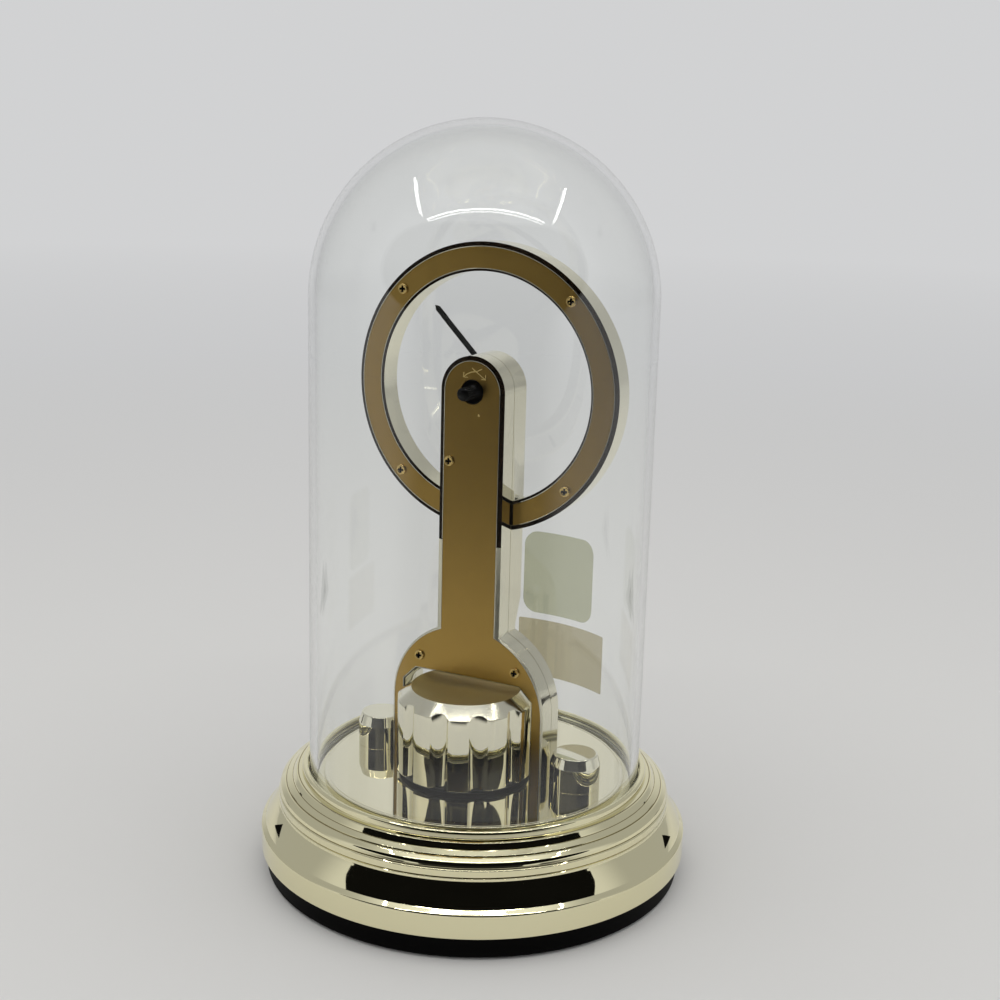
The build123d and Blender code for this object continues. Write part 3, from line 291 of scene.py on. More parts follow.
def math_node(tree, operation, first, second):
    """One sum of two numbers or sockets."""
    node = add_node(tree, "ShaderNodeMath", {0: first, 1: second})
    node.operation = operation
    return node.outputs["Value"]


def vector_node(tree, operation, values):
    """The outputs of one sum on vectors."""
    node = tree.nodes.new("ShaderNodeVectorMath")
    node.operation = operation
    return feed(tree, node, values).outputs


def upright_part(tree, vector):
    """How far up a vector reaches."""
    return add_node(tree, "ShaderNodeSeparateXYZ", {"Vector": vector}).outputs["Z"]


def blend_colours(tree, value, first, second):
    """A colour between two, by a number."""
    node = tree.nodes.new("ShaderNodeMix")
    node.data_type = "RGBA"
    feed(tree, node, {"A": (*first, 1.0), "B": (*second, 1.0), "Factor": value})
    return node.outputs["Result"]


def bump(tree, shader, height, distance, strength):
    """A bump of a height in metres on a shader."""
    values = {"Distance": distance, "Strength": strength, "Height": height}
    node = add_node(tree, "ShaderNodeBump", values)
    feed(tree, shader, {"Normal": node.outputs["Normal"]})


def glowing(tree, kind, colour, strength):
    """A shader of plain light."""
    return add_node(tree, kind, {"Color": (*colour, 1.0), "Strength": strength}).outputs[0]


def mixed(tree, share, first, second):
    """A shader between two, by a number."""
    values = {"Fac": share, 1: first, 2: second}
    return add_node(tree, "ShaderNodeMixShader", values).outputs["Shader"]


def show(tree, surface, kind="ShaderNodeOutputMaterial"):
    """Lead a shader to the output of its tree."""
    add_node(tree, kind, {"Surface": surface})


# Studio: the side and front shares are cosines from the camera's side

SIDE_NEAR = (-0.05, 0.28)
SIDE_FAR = (-0.93, -0.70)
FRONT_START = 0.42
FRONT_END = 0.82
OVERHEAD_START = 0.78
OVERHEAD_END = 0.95


def camera_side(degrees):
    """A level direction, counted in degrees round from the camera's side."""
    angle = math.radians(CAMERA_AZIMUTH + degrees)
    return Vector((math.sin(angle), -math.cos(angle), 0.0))


def camera_cosine(tree, direction):
    """How nearly a direction points to the camera's side, from minus one to one."""
    return vector_node(tree, "DOT_PRODUCT", {0: direction, 1: camera_side(0.0)})["Value"]


def mirrored(tree):
    """One for a ray that gloss or glass has mirrored, and zero for any other."""
    rays = tree.nodes.new("ShaderNodeLightPath")
    return math_node(tree, "MINIMUM", rays.outputs["Glossy Depth"], 1.0)


def side_dimming(tree, direction, level):
    """One, or less for what gloss sees to the left and right of the clock."""
    cosine = camera_cosine(tree, direction)
    near = smooth_ramp(tree, cosine, 1.0, 0.0, *SIDE_NEAR)
    far = smooth_ramp(tree, cosine, 0.0, 1.0, *SIDE_FAR)
    share = math_node(tree, "MULTIPLY", near, far)
    return ramp(tree, math_node(tree, "MULTIPLY", share, mirrored(tree)), 1.0, level)


def front_share(tree, direction):
    """How far a direction is on the camera's side, for what gloss and glass mirror."""
    share = smooth_ramp(tree, camera_cosine(tree, direction), 0.0, 1.0, FRONT_START, FRONT_END)
    return math_node(tree, "MULTIPLY", share, mirrored(tree))


def make_world():
    """Pale paper for the camera, gloss and glass, lighter overhead, and a plain ambient light."""
    world = bpy.data.worlds.new("studio")
    bpy.context.scene.world = world
    world.use_nodes = True
    tree = world.node_tree
    tree.nodes.clear()
    direction = tree.nodes.new("ShaderNodeTexCoord").outputs["Generated"]
    overhead = smooth_ramp(tree, upright_part(tree, direction), PAPER_LEVEL, OVERHEAD_LEVEL,
                           OVERHEAD_START, OVERHEAD_END)
    level = math_node(tree, "MULTIPLY", side_dimming(tree, direction, SIDE_LEVEL), overhead)
    paper = glowing(tree, "ShaderNodeBackground", PAPER_COLOUR, level)
    ambient = glowing(tree, "ShaderNodeBackground", WHITE, AMBIENT_LEVEL)
    rays = tree.nodes.new("ShaderNodeLightPath")
    backdrop = mixed(tree, rays.outputs["Is Diffuse Ray"], paper, ambient)
    show(tree, backdrop, "ShaderNodeOutputWorld")


def studio_object(name, mesh_maker, material):
    """A piece of the studio that isn't part of the clock."""
    mesh = bpy.data.meshes.new(name)
    form = bmesh.new()
    mesh_maker(form)
    form.to_mesh(mesh)
    form.free()
    mesh.materials.append(material)
    thing = bpy.data.objects.new(name, mesh)
    bpy.context.scene.collection.objects.link(thing)
    return thing


# Floor, in metres from the clock's axis

FLOOR_RADIUS = 6.0
FLOOR_FADE_START = 0.25
FLOOR_FADE_END = 1.3
FLOOR_FAR = 3.0
FLOOR_SIDE_START = 0.5
FLOOR_SIDE_END = 3.5
FRONT_FADE_START = 0.34
FRONT_FADE_END = 0.5
GLARE_FADE_START = 0.14
GLARE_FADE_END = 0.22
GLARE_WALLS = 3.0


def floor_material():
    """White paper that takes the clock's shadow near it and fades into the backdrop further off."""
    material, tree = empty_material("floor_paper")
    spot = tree.nodes.new("ShaderNodeTexCoord").outputs["Object"]
    reach = vector_node(tree, "LENGTH", {0: spot})["Value"]
    direction = vector_node(tree, "NORMALIZE", {0: spot})["Vector"]
    rays = tree.nodes.new("ShaderNodeLightPath")

    fade = ramp(tree, reach, 0.0, 1.0, FLOOR_FADE_START, FLOOR_FADE_END)
    not_diffuse = math_node(tree, "SUBTRACT", 1.0, rays.outputs["Is Diffuse Ray"])
    backdrop_share = math_node(tree, "MULTIPLY", fade, not_diffuse)

    near_side = side_dimming(tree, direction, SIDE_FLOOR_LEVEL)
    far_side = side_dimming(tree, direction, SIDE_LEVEL)
    distant = smooth_ramp(tree, reach, 0.0, 1.0, FLOOR_SIDE_START, FLOOR_SIDE_END)
    change = math_node(tree, "MULTIPLY", distant, math_node(tree, "SUBTRACT", far_side, near_side))
    side = math_node(tree, "ADD", near_side, change)

    few_walls = math_node(tree, "LESS_THAN", rays.outputs["Transmission Depth"], GLARE_WALLS)
    glare = math_node(tree, "MULTIPLY", few_walls,
                      smooth_ramp(tree, reach, 0.0, 1.0, GLARE_FADE_START, GLARE_FADE_END))
    front_fade = smooth_ramp(tree, reach, 0.0, 1.0, FRONT_FADE_START, FRONT_FADE_END)
    front = math_node(tree, "MULTIPLY", front_share(tree, direction),
                      math_node(tree, "MAXIMUM", glare, front_fade))

    level = ramp(tree, reach, NEAR_PAPER_LEVEL, PAPER_LEVEL, FLOOR_FADE_START, FLOOR_FAR)
    dimming = math_node(tree, "MULTIPLY", side, ramp(tree, front, 1.0, FRONT_LEVEL))
    backdrop = glowing(tree, "ShaderNodeEmission", PAPER_COLOUR,
                       math_node(tree, "MULTIPLY", level, dimming))
    paper = add_node(tree, "ShaderNodeBsdfDiffuse", {"Color": (*FLOOR_COLOUR, 1.0)})
    shown = math_node(tree, "MAXIMUM", backdrop_share, front)
    show(tree, mixed(tree, shown, paper.outputs["BSDF"], backdrop))
    return material


def floor_disc(form):
    """A wide round sheet."""
    bmesh.ops.create_circle(form, cap_ends=True, segments=64, radius=FLOOR_RADIUS)


# Dark side of the studio, in metres and degrees

DARK_RADIUS = 0.95
DARK_LOW = -0.01
DARK_HIGH = 1.45
DARK_END_Z = 0.58
DARK_HALF_ANGLE = 71.5
DARK_ROUND = 2.0
DARK_FADE = 0.1
DARK_LEVEL = 0.004
GAP_RADIUS = 0.3
GAP_CORNERS = ((121.5, 0.010), (116.0, 0.042), (111.7, 0.027))


def dark_material(fade_end):
    """The unlit room beyond the studio's open side, seen only in reflections; light at its foot."""
    material, tree = empty_material("dark_room")
    rays = tree.nodes.new("ShaderNodeLightPath")
    reflected = math_node(tree, "GREATER_THAN", rays.outputs["Glossy Depth"], 0.5)
    height = upright_part(tree, tree.nodes.new("ShaderNodeTexCoord").outputs["Object"])
    level = smooth_ramp(tree, height, FRONT_LEVEL * NEAR_PAPER_LEVEL, DARK_LEVEL,
                        fade_end - DARK_FADE, fade_end)
    clear = tree.nodes.new("ShaderNodeBsdfTransparent").outputs["BSDF"]
    show(tree, mixed(tree, reflected, clear, glowing(tree, "ShaderNodeEmission", WHITE, level)))
    return material


def hide_but_reflected(thing):
    """Leave a studio piece visible to gloss and glass only."""
    thing.visible_camera = False
    thing.visible_diffuse = False
    thing.visible_shadow = False


def dark_wall(form):
    """A bent upright wall on the camera's side, with rounded ends."""
    low = form.verts.new((0.0, 0.0, -1.0))
    high = form.verts.new((0.0, 0.0, 1.0))
    edge = form.edges.new((low, high))
    start = camera_side(-DARK_HALF_ANGLE) * DARK_RADIUS
    bmesh.ops.translate(form, verts=[low, high], vec=start)
    bmesh.ops.spin(form, geom=[low, high, edge], cent=(0, 0, 0), axis=(0, 0, 1),
                   angle=math.radians(2 * DARK_HALF_ANGLE), steps=96)
    middle = camera_side(0.0)
    for vert in form.verts:
        turn = math.degrees(middle.angle(vert.co.xy.to_3d()))
        share = min(1.0, turn / DARK_HALF_ANGLE)
        spread = (1.0 - share ** DARK_ROUND) ** (1 / DARK_ROUND)
        limit = DARK_LOW if vert.co.z < 0 else DARK_HIGH
        vert.co.z = DARK_END_Z + (limit - DARK_END_Z) * spread


def make_gaps():
    """A small dark gap low on each side, seen only in reflections."""
    for side in (-1, 1):
        def gap(form):
            corners = [camera_side(side * angle) * GAP_RADIUS + Vector((0, 0, z))
                       for angle, z in GAP_CORNERS]
            form.faces.new([form.verts.new(corner) for corner in corners])

        hide_but_reflected(studio_object("dark_gap", gap, dark_material(0.0)))


# Lamps: each tube's ends lie toward the camera's side and to its right, in metres

TUBE_Z = 0.80
TUBE_WIDTH = 0.016
TUBE_LEVEL = 16.0
TUBE_COLOUR = (1.0, 0.995, 0.98)
TUBE_ENDS = (
    ((0.345, -0.434), (0.345, 0.434)),
    ((0.263, -0.459), (-0.099, -0.375)),
    ((0.290, 0.504), (-0.080, 0.425)),
)


def tube_material():
    """The glow of a lamp tube."""
    material, tree = empty_material("lamp_glow")
    show(tree, glowing(tree, "ShaderNodeEmission", TUBE_COLOUR, TUBE_LEVEL))
    return material


def make_lamps():
    """Three lamp tubes overhead, which the dome mirrors as bright lines."""
    glow = tube_material()
    toward = camera_side(0.0)
    right = camera_side(90.0)
    for index, ends in enumerate(TUBE_ENDS):
        first, second = [toward * t + right * r + Vector((0, 0, TUBE_Z)) for t, r in ends]
        along = (second - first).normalized()
        across = along.cross(Vector((0, 0, 1))) * TUBE_WIDTH / 2

        def strip(form):
            corners = [first - across, first + across, second + across, second - across]
            form.faces.new([form.verts.new(corner) for corner in corners])

        tube = studio_object(f"lamp_{index + 1}", strip, glow)
        tube.visible_camera = False
        tube.visible_shadow = False


def make_studio():
    """Floor, backdrop, dark side and lamps."""
    make_world()
    studio_object("floor", floor_disc, floor_material())
    hide_but_reflected(studio_object("dark_side", dark_wall, dark_material(DARK_FADE)))
    make_gaps()
    make_lamps()
    bpy.context.scene.view_settings.view_transform = "Standard"


make_studio()


# Materials: heights in metres, noise scales per metre

NOISE_RANGE = (0.3, 0.7)
FULL_RANGE = (0.0, 1.0)
SATIN_BROWN = (0.385, 0.247, 0.067)
SATIN_PALE = (0.43, 0.281, 0.081)
SATIN_SHADE_LOW = 0.06
SATIN_SHADE_TOP = 0.16
# Two tones of near-black painted shade for the bevels.
BEVEL_SHADE_DARK = (0.010, 0.006, 0.003)
BEVEL_SHADE_PALER = (0.020, 0.012, 0.006)
BEVEL_GLOSS = 0.08
BLACK_CLOUDING = (1.6, 1.55, 1.5)
GLASS_GREEN = (0.985, 0.995, 0.985)
GLASS_CLEAR = (0.995, 1.0, 0.995)
GLASS_IOR = 1.47
FILM_IOR = 1.12
METAL_DEEPER = 0.86
PLASTIC_DEEPER = 0.9
METAL_SPREAD = 0.14
PLASTIC_SPREAD = 0.12
SCRATCH_STRETCH = (900.0, 90.0, 900.0)
SATIN_GRAIN = 0.000006
BLACK_GRAIN = 0.00003
PLASTIC_GRAIN = 0.00002


def clouded(tree, shader, where, first, second, scale, detail=3.0):
    """Lead a soft clouding of two colours to a shader, and give back the clouding."""
    cloud = noise(tree, where, scale, detail)
    feed(tree, shader, {"Base Color": blend_colours(tree, cloud, first, second)})
    return cloud


def roughened(tree, shader, grain, least, most, span=NOISE_RANGE):
    """Lead a roughness between two to a shader, by a grain."""
    feed(tree, shader, {"Roughness": ramp(tree, grain, least, most, *span)})


def polished_gold(name, colour, deep, least=0.015, most=0.05):
    """Bright plated gold with faint clouding and polishing haze."""
    material, tree, shader = new_material(name)
    where = on_piece(tree)
    clouded(tree, shader, where, colour, deep, scale=22.0, detail=2.0)
    feed(tree, shader, {"Metallic": 1.0})
    roughened(tree, shader, noise(tree, where, scale=60.0, detail=4.0), least, most)
    return material


def satin_gold(name, low_share=1.0, top_share=1.0):
    """Fine satin brown gold, its colour scaled by one share low down and another high up; unequal
    shares paint light and shade by height.
    """
    material, tree, shader = new_material(name)
    where = on_piece(tree)
    tint = blend_colours(tree, noise(tree, where, scale=30.0), SATIN_BROWN, SATIN_PALE)
    # The share by height is painted light and shade.
    share = smooth_ramp(tree, upright_part(tree, where), low_share, top_share,
                        SATIN_SHADE_LOW, SATIN_SHADE_TOP)
    scaled = vector_node(tree, "SCALE", {0: tint, "Scale": share})
    feed(tree, shader, {"Base Color": scaled["Vector"], "Metallic": 1.0})
    grain = noise(tree, where, scale=4200.0, roughness=0.7)
    roughened(tree, shader, grain, least=0.30, most=0.42)
    bump(tree, shader, grain, SATIN_GRAIN, strength=0.5)
    return material


def painted_bevel_shade(name):
    """Painted shade for the bevels round the covers: near black, with little gloss."""
    material, tree, shader = new_material(name)
    cloud = clouded(tree, shader, on_piece(tree), BEVEL_SHADE_DARK, BEVEL_SHADE_PALER, scale=50.0)
    feed(tree, shader, {"Metallic": 0.0, "Specular IOR Level": BEVEL_GLOSS})
    roughened(tree, shader, cloud, least=0.22, most=0.34, span=FULL_RANGE)
    return material


def moulded_black(name, level=0.012, rough=0.32, gloss=0.5):
    """Moulded black plastic with a fine grain."""
    material, tree, shader = new_material(name)
    feed(tree, shader, {"Specular IOR Level": gloss})
    where = on_piece(tree)
    paler = tuple(level * part for part in BLACK_CLOUDING)
    clouded(tree, shader, where, (level, level, level), paler, scale=40.0)
    grain = noise(tree, where, scale=2600.0, roughness=0.6)
    roughened(tree, shader, grain, rough, rough + PLASTIC_SPREAD)
    bump(tree, shader, grain, BLACK_GRAIN, strength=0.5)
    return material


def clear_glass(name):
    """The dome's clear glass with a cloudy trace of green."""
    material, tree, shader = new_material(name)
    clouded(tree, shader, on_piece(tree), GLASS_GREEN, GLASS_CLEAR, scale=9.0, detail=1.0)
    feed(tree, shader, {"Roughness": 0.0, "IOR": GLASS_IOR, "Transmission Weight": 1.0})
    return material


def clear_film(name, colour, deep):
    """Blank tinted film, clear enough to see through."""
    material, tree, shader = new_material(name)
    cloud = clouded(tree, shader, on_piece(tree), colour, deep, scale=60.0)
    roughened(tree, shader, cloud, least=0.0, most=0.06, span=FULL_RANGE)
    feed(tree, shader, {"IOR": FILM_IOR, "Transmission Weight": 1.0})
    return material


def plated_metal(name, colour, rough=0.22):
    """Plain plated metal with fine scratches."""
    material, tree, shader = new_material(name)
    deep = tuple(part * METAL_DEEPER for part in colour)
    clouded(tree, shader, on_piece(tree), colour, deep, scale=90.0)
    feed(tree, shader, {"Metallic": 1.0})
    scratch = noise(tree, on_piece(tree, SCRATCH_STRETCH), scale=4.0, detail=4.0)
    roughened(tree, shader, scratch, rough, rough + METAL_SPREAD)
    return material


def plain_plastic(name, colour, rough=0.4):
    """Moulded plastic with a slight grain."""
    material, tree, shader = new_material(name)
    where = on_piece(tree)
    deep = tuple(part * PLASTIC_DEEPER for part in colour)
    clouded(tree, shader, where, colour, deep, scale=60.0)
    grain = noise(tree, where, scale=2200.0)
    roughened(tree, shader, grain, rough, rough + PLASTIC_SPREAD, FULL_RANGE)
    bump(tree, shader, grain, PLASTIC_GRAIN, strength=0.4)
    return material


GOLD = polished_gold("pale_gold_plating", (0.90, 0.865, 0.70), (0.885, 0.845, 0.67))
COLUMN_GOLD = polished_gold("column_plating", (0.88, 0.845, 0.69), (0.86, 0.82, 0.66), 0.05, 0.11)
BEVEL_GOLD = polished_gold("bevel_plating", (0.93, 0.89, 0.72), (0.90, 0.86, 0.69), 0.4, 0.5)
# Dark brown gold for the base's grooves and the column's seam: painted shade.
GROOVE_SHADE_GOLD = polished_gold("groove_painted_shade", (0.34, 0.28, 0.12), (0.28, 0.23, 0.09), 0.2, 0.3)
BASE_GOLD = polished_gold("warm_gold_plating", (0.915, 0.865, 0.585), (0.90, 0.845, 0.56))
DECK_GOLD = polished_gold("deck_plating", (0.95, 0.90, 0.68), (0.94, 0.885, 0.66))
DRUM_GOLD = polished_gold("drum_plating", (0.92, 0.88, 0.72), (0.905, 0.865, 0.70))
# Yellower, rougher gold on the drum's flat top: a painted reflection of the brown cover and arch
# above it.
DRUM_TOP_REFLECTION_GOLD = polished_gold("drum_top_painted_reflection", (1.0, 0.86, 0.44), (0.97, 0.82, 0.42), 0.5, 0.6)
DRUM_CONE_GOLD = polished_gold("drum_cone_plating", (0.93, 0.89, 0.73), (0.92, 0.875, 0.715),
                               0.14, 0.2)
SATIN = satin_gold("satin_cover_gold")
# The column's cover is painted lighter low down and darker high up: painted light and shade.
COLUMN_SATIN_LIT_AND_SHADED = satin_gold("column_cover_gold_painted_light_and_shade", 1.32, 0.70)
# The raised marks' brighter gold is partly their own polished finish and partly a painted highlight
# for the light their raised edges catch.
MARK_GOLD = polished_gold("raised_mark_gold", (0.80, 0.60, 0.24), (0.74, 0.55, 0.21), 0.2, 0.3)
# Near-black painted shade on the column's and ring's bevels and at the ring cover's ends.
EDGE_SHADE = painted_bevel_shade("bevel_painted_shade")
BLACK = moulded_black("black_plastic")
PAN_BLACK = moulded_black("pan_plastic", 0.0012, 0.42, 0.04)
# Near-black painted shade in the screws' cross recesses.
RECESS_SHADE = moulded_black("screw_recess_painted_shade", 0.002, 0.5, 0.05)
KNOB_BLACK = moulded_black("knob_plastic", 0.002, 0.3, 0.25)
RUBBER = moulded_black("foot_rubber", 0.02, 0.6)
GLASS = clear_glass("dome_glass")
SQUARE_FILM = clear_film("blank_square_film", (0.59, 0.60, 0.445), (0.55, 0.56, 0.415))
WIDE_FILM = clear_film("blank_wide_film", (0.565, 0.515, 0.355), (0.53, 0.48, 0.33))
SCREW_BRASS = plated_metal("screw_plating", (0.80, 0.58, 0.22), 0.2)
CUSHION = plain_plastic("cushion_rubber", (0.62, 0.60, 0.48), 0.5)

SLOT_MATERIALS = {
    "polished_gold": GOLD,
    "satin_gold": SATIN,
    "mirror_deck": DECK_GOLD,
    "black_plastic": BLACK,
    "foot_rubber": RUBBER,
    "cushion_rubber": CUSHION,
    "clear_glass": GLASS,
    "clear_film": SQUARE_FILM,
    "steel": plated_metal("plated_steel", (0.62, 0.62, 0.60)),
    "screw_brass": SCREW_BRASS,
    "dial_paint": plain_plastic("dial_enamel", (0.84, 0.82, 0.74), 0.32),
    "hand_black": moulded_black("hand_lacquer", 0.004, 0.25),
    "white_nylon": plain_plastic("natural_nylon", (0.82, 0.81, 0.76)),
    "circuit": plain_plastic("solder_mask", (0.05, 0.22, 0.10), 0.28),
    "copper_wire": plated_metal("enamelled_wire", (0.66, 0.32, 0.14), 0.3),
    "magnet": plated_metal("magnet_plating", (0.42, 0.42, 0.43), 0.25),
    "cell_jacket": plain_plastic("cell_jacket", (0.13, 0.20, 0.16), 0.25),
    "contact_nickel": plated_metal("nickel_plating", (0.76, 0.75, 0.70), 0.12),
    "lead_sleeve": plain_plastic("lead_sleeve", (0.035, 0.035, 0.035), 0.45),
    "turned_brass": plated_metal("turned_brass", (0.78, 0.62, 0.32), 0.2),
}


def dress_nodes():
    """Give each CAD node the full material of its slot, and the battery door that of the pan."""
    for row in frame["record"]["subparts"]:
        data = nodes[row["node"]].data
        finish = SLOT_MATERIALS[row["material_slot"]]
        if row["node"] == "battery_door":
            finish = PAN_BLACK
        for index in range(len(data.materials)):
            data.materials[index] = finish


dress_nodes()


# Shaping helpers, all in mm; a normal with a part past FACING looks along that axis, one with
# a part under ACROSS looks across it, and one between ASLANT and FACING is on a bevel

FLAT_END = 0.2
CORNER_SHARE = 0.97
FACING = 0.97
ASLANT = 0.15
ACROSS = 0.1
TOUCHING = 0.001
NO_AREA = 0.0005
NEARLY = 0.01
SHARP_TURN = 1.0


def rounded(corners, steps=4):
    """A closed outline from corners with radii, with a point near each end of every flat."""
    places = [Vector(corner[:2]) for corner in corners]
    sides = [places[(index + 1) % len(places)] - here for index, here in enumerate(places)]
    reaches = []
    for index, (first, second, radius) in enumerate(corners):
        before, after = -sides[index - 1], sides[index]
        reach = radius / math.tan(before.angle(after) / 2)
        neighbours = (corners[index - 1], corners[(index + 1) % len(corners)])
        for side, neighbour in zip((before, after), neighbours):
            share = radius / max(radius + neighbour[2], TOUCHING)
            reach = min(reach, CORNER_SHARE * side.length * share)
        reaches.append(reach)
    points = []
    for index, (here, reach) in enumerate(zip(places, reaches)):
        before, after = -sides[index - 1].normalized(), sides[index].normalized()
        if reach:
            half = before.angle(after) / 2
            start = here + before * reach
            end = here + after * reach
            middle = here + (before + after).normalized() * reach / math.cos(half)
            for step in range(steps + 1):
                spoke = (start.lerp(end, step / steps) - middle).normalized()
                points.append(middle + spoke * reach * math.tan(half))
        else:
            points.append(here)
        next_reach = reaches[(index + 1) % len(reaches)]
        flat = sides[index].length - reach - next_reach
        if flat > FLAT_END:
            end_gap = min(FLAT_END, flat / 4)
            if reach:
                points.append(here + after * (reach + end_gap))
            if next_reach:
                points.append(here + after * (reach + flat - end_gap))
    return points


def arc(middle, radius, first, last, steps):
    """Points round a circle, between two angles in degrees."""
    points = []
    for step in range(steps + 1):
        angle = math.radians(first + (last - first) * step / steps)
        points.append(Vector((middle[0] + radius * math.cos(angle),
                              middle[1] + radius * math.sin(angle))))
    return points


def circle(middle, radius, count):
    """Points all the way round a circle."""
    return arc(middle, radius, 0.0, 360.0 - 360.0 / count, count - 1)


def add_loop(form, points, y):
    """A closed loop of edges at one depth, from places across and up."""
    corners = [form.verts.new((point[0], y, point[1])) for point in points]
    return [form.edges.new((corners[index - 1], corners[index])) for index in range(len(corners))]


def turned(outline, steps, middle=(0.0, 0.0)):
    """A form turned about an upright axis from a closed outline of radius and height."""
    form = bmesh.new()
    places = [(middle[0] + point[0], point[1]) for point in outline]
    edges = add_loop(form, places, middle[1])
    bmesh.ops.spin(form, geom=form.verts[:] + edges, cent=(*middle, 0.0), axis=(0, 0, 1),
                   angle=FULL_TURN, steps=steps, use_merge=True)
    return form


def plate(outline, holes, y_low, y_high):
    """A flat plate between two depths, with holes."""
    form = bmesh.new()
    for loop in (outline, *holes):
        add_loop(form, loop, y_high)
    bmesh.ops.triangle_fill(form, edges=form.edges[:], use_beauty=True)
    thick = bmesh.ops.extrude_face_region(form, geom=form.faces[:])["geom"]
    moved = [item for item in thick if isinstance(item, bmesh.types.BMVert)]
    bmesh.ops.translate(form, verts=moved, vec=(0, y_low - y_high, 0))
    return form


def all_of(form):
    """Every corner, edge and face of a form."""
    return form.verts[:] + form.edges[:] + form.faces[:]


def cut(form, spot, direction):
    """Cut a form's skin along a plane and keep both sides."""
    bmesh.ops.bisect_plane(form, geom=all_of(form), plane_co=spot, plane_no=direction)


def bevel_edges(form, chosen, width, segments=2):
    """Round chosen edges over."""
    bmesh.ops.bevel(form, geom=chosen, offset=width, offset_type="OFFSET", segments=segments,
                    profile=0.5, affect="EDGES", material=-1, clamp_overlap=True)


def round_rear_edges(form, rear):
    """Round over the edges of a cover's rear face."""
    chosen = [line for line in form.edges if line.is_manifold
              and line.calc_face_angle(0.0) > SHARP_TURN
              and min(vert.co.y for vert in line.verts) > rear - NEARLY]
    bevel_edges(form, chosen, COVER_ROUND)


def merged_copy(node):
    """The form of a CAD node with its loose triangles joined, in mm."""
    form = bmesh.new()
    form.from_mesh(nodes[node].data)
    bmesh.ops.scale(form, vec=(1 / MM, 1 / MM, 1 / MM), verts=form.verts)
    bmesh.ops.remove_doubles(form, verts=form.verts[:], dist=TOUCHING)
    for face in form.faces:
        face.material_index = 0
    return form


def make_piece(name, form, body, material, stands_for=(), others=(), paint=None, angle=28.0,
               turn_out=True):
    """A finished piece that rides on a body and stands for CAD nodes.

    The materials are the first one and the others; paint picks one of them for each face by its
    number. Edges that turn more than the angle in degrees stay sharp.
    """
    bmesh.ops.remove_doubles(form, verts=form.verts[:], dist=TOUCHING)
    bmesh.ops.dissolve_degenerate(form, edges=form.edges[:], dist=NO_AREA)
    if turn_out:
        bmesh.ops.recalc_face_normals(form, faces=form.faces[:])
    form.normal_update()
    if paint:
        for face in form.faces:
            face.material_index = int(paint(face.calc_center_median(), face.normal))
    bmesh.ops.scale(form, vec=(MM, MM, MM), verts=form.verts)
    mesh = bpy.data.meshes.new(name)
    form.to_mesh(mesh)
    form.free()
    for finish in (material, *others):
        mesh.materials.append(finish)
    mesh.shade_smooth()
    mesh.set_sharp_from_angle(angle=math.radians(angle))
    piece = bpy.data.objects.new(name, mesh)
    bpy.context.scene.collection.objects.link(piece)
    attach(piece, body)
    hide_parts(*stands_for)
    return piece


# Base

BASE_OUTSIDE = (
    (BASE_RADIUS, RIM_LOW, 0.25), (BASE_RADIUS, 16.42, 0.7), (73.45, 17.75, 0.35),
    (71.61, 21.13, 60.0), (69.35, 24.25, 0.2), (68.78, 25.0, 0.1), (68.72, 25.75, 0.08),
    (68.3, 26.05, 0.05), (68.75, 26.4, 0.15), (68.75, 28.55, 0.3), (68.2, 28.95, 0.06),
    (68.55, 29.35, 0.2), (68.2, 30.75, 1.9), (66.75, 31.95, 0.5), (66.15, 32.1, 0.06),
    (65.95, 32.5, 0.2), (64.35, 33.3, 0.3), (63.95, 33.45, 0.05), (63.7, 33.9, 0.15),
    (62.75, 35.25, 0.25), (62.1, 35.4, 0.05), (60.8, 35.6, 0.12), (LIP_RADIUS, LIP_HIGH, 0.9),
)
BASE_INSIDE = (
    (LIP_INNER, LIP_HIGH, 0.7), (LIP_INNER, SEAT_Z, 0.0), (0.0, SEAT_Z, 0.0),
    (0.0, PLATE_LOW, 0.0), (61.5, PLATE_LOW - 1.5, 0.0), (BASE_RADIUS - BASE_WALL, 14.4, 0.0),
    (BASE_RADIUS - BASE_WALL, RIM_LOW, 0.0),
)
BASE_GROOVES = ((68.3, 26.05), (68.2, 28.95), (66.1, 32.1), (63.9, 33.45), (62.05, 35.4))
GROOVE_REACH = 0.24


def make_base():
    """The turned shell: rim, cone, ridges, shoulder, ledge and lip, and the seat of the dome."""
    form = turned(rounded(BASE_OUTSIDE + BASE_INSIDE, steps=5), steps=192)

    # Faces in the turned grooves get the dark groove gold: painted shade in the grooves.
    def groove(centre, normal):
        place = Vector((centre.xy.length, centre.z))
        return min((place - Vector(bottom)).length for bottom in BASE_GROOVES) < GROOVE_REACH

    make_piece("base_shell_turned", form, "clock", BASE_GOLD, ["base_shell"],
               [GROOVE_SHADE_GOLD], groove, angle=40.0)


def make_pan():
    """The black pan with its recesses and its door's channel, its lower edge rounded."""
    form = merged_copy("base_pan")
    bmesh.ops.dissolve_limit(form, angle_limit=math.radians(0.5), verts=form.verts[:],
                             edges=form.edges[:])

    def on_rim(vert):
        low = vert.co.z < PAN_LOW + PAN_RIM_HIGH
        return low and vert.co.xy.length > PAN_RADIUS - PAN_RIM_BAND

    rim = [line for line in form.edges if all(on_rim(vert) for vert in line.verts)]
    bevel_edges(form, rim, PAN_EDGE, segments=3)
    make_piece("base_pan_moulded", form, "clock", PAN_BLACK, ["base_pan"],
               angle=14.0, turn_out=False)


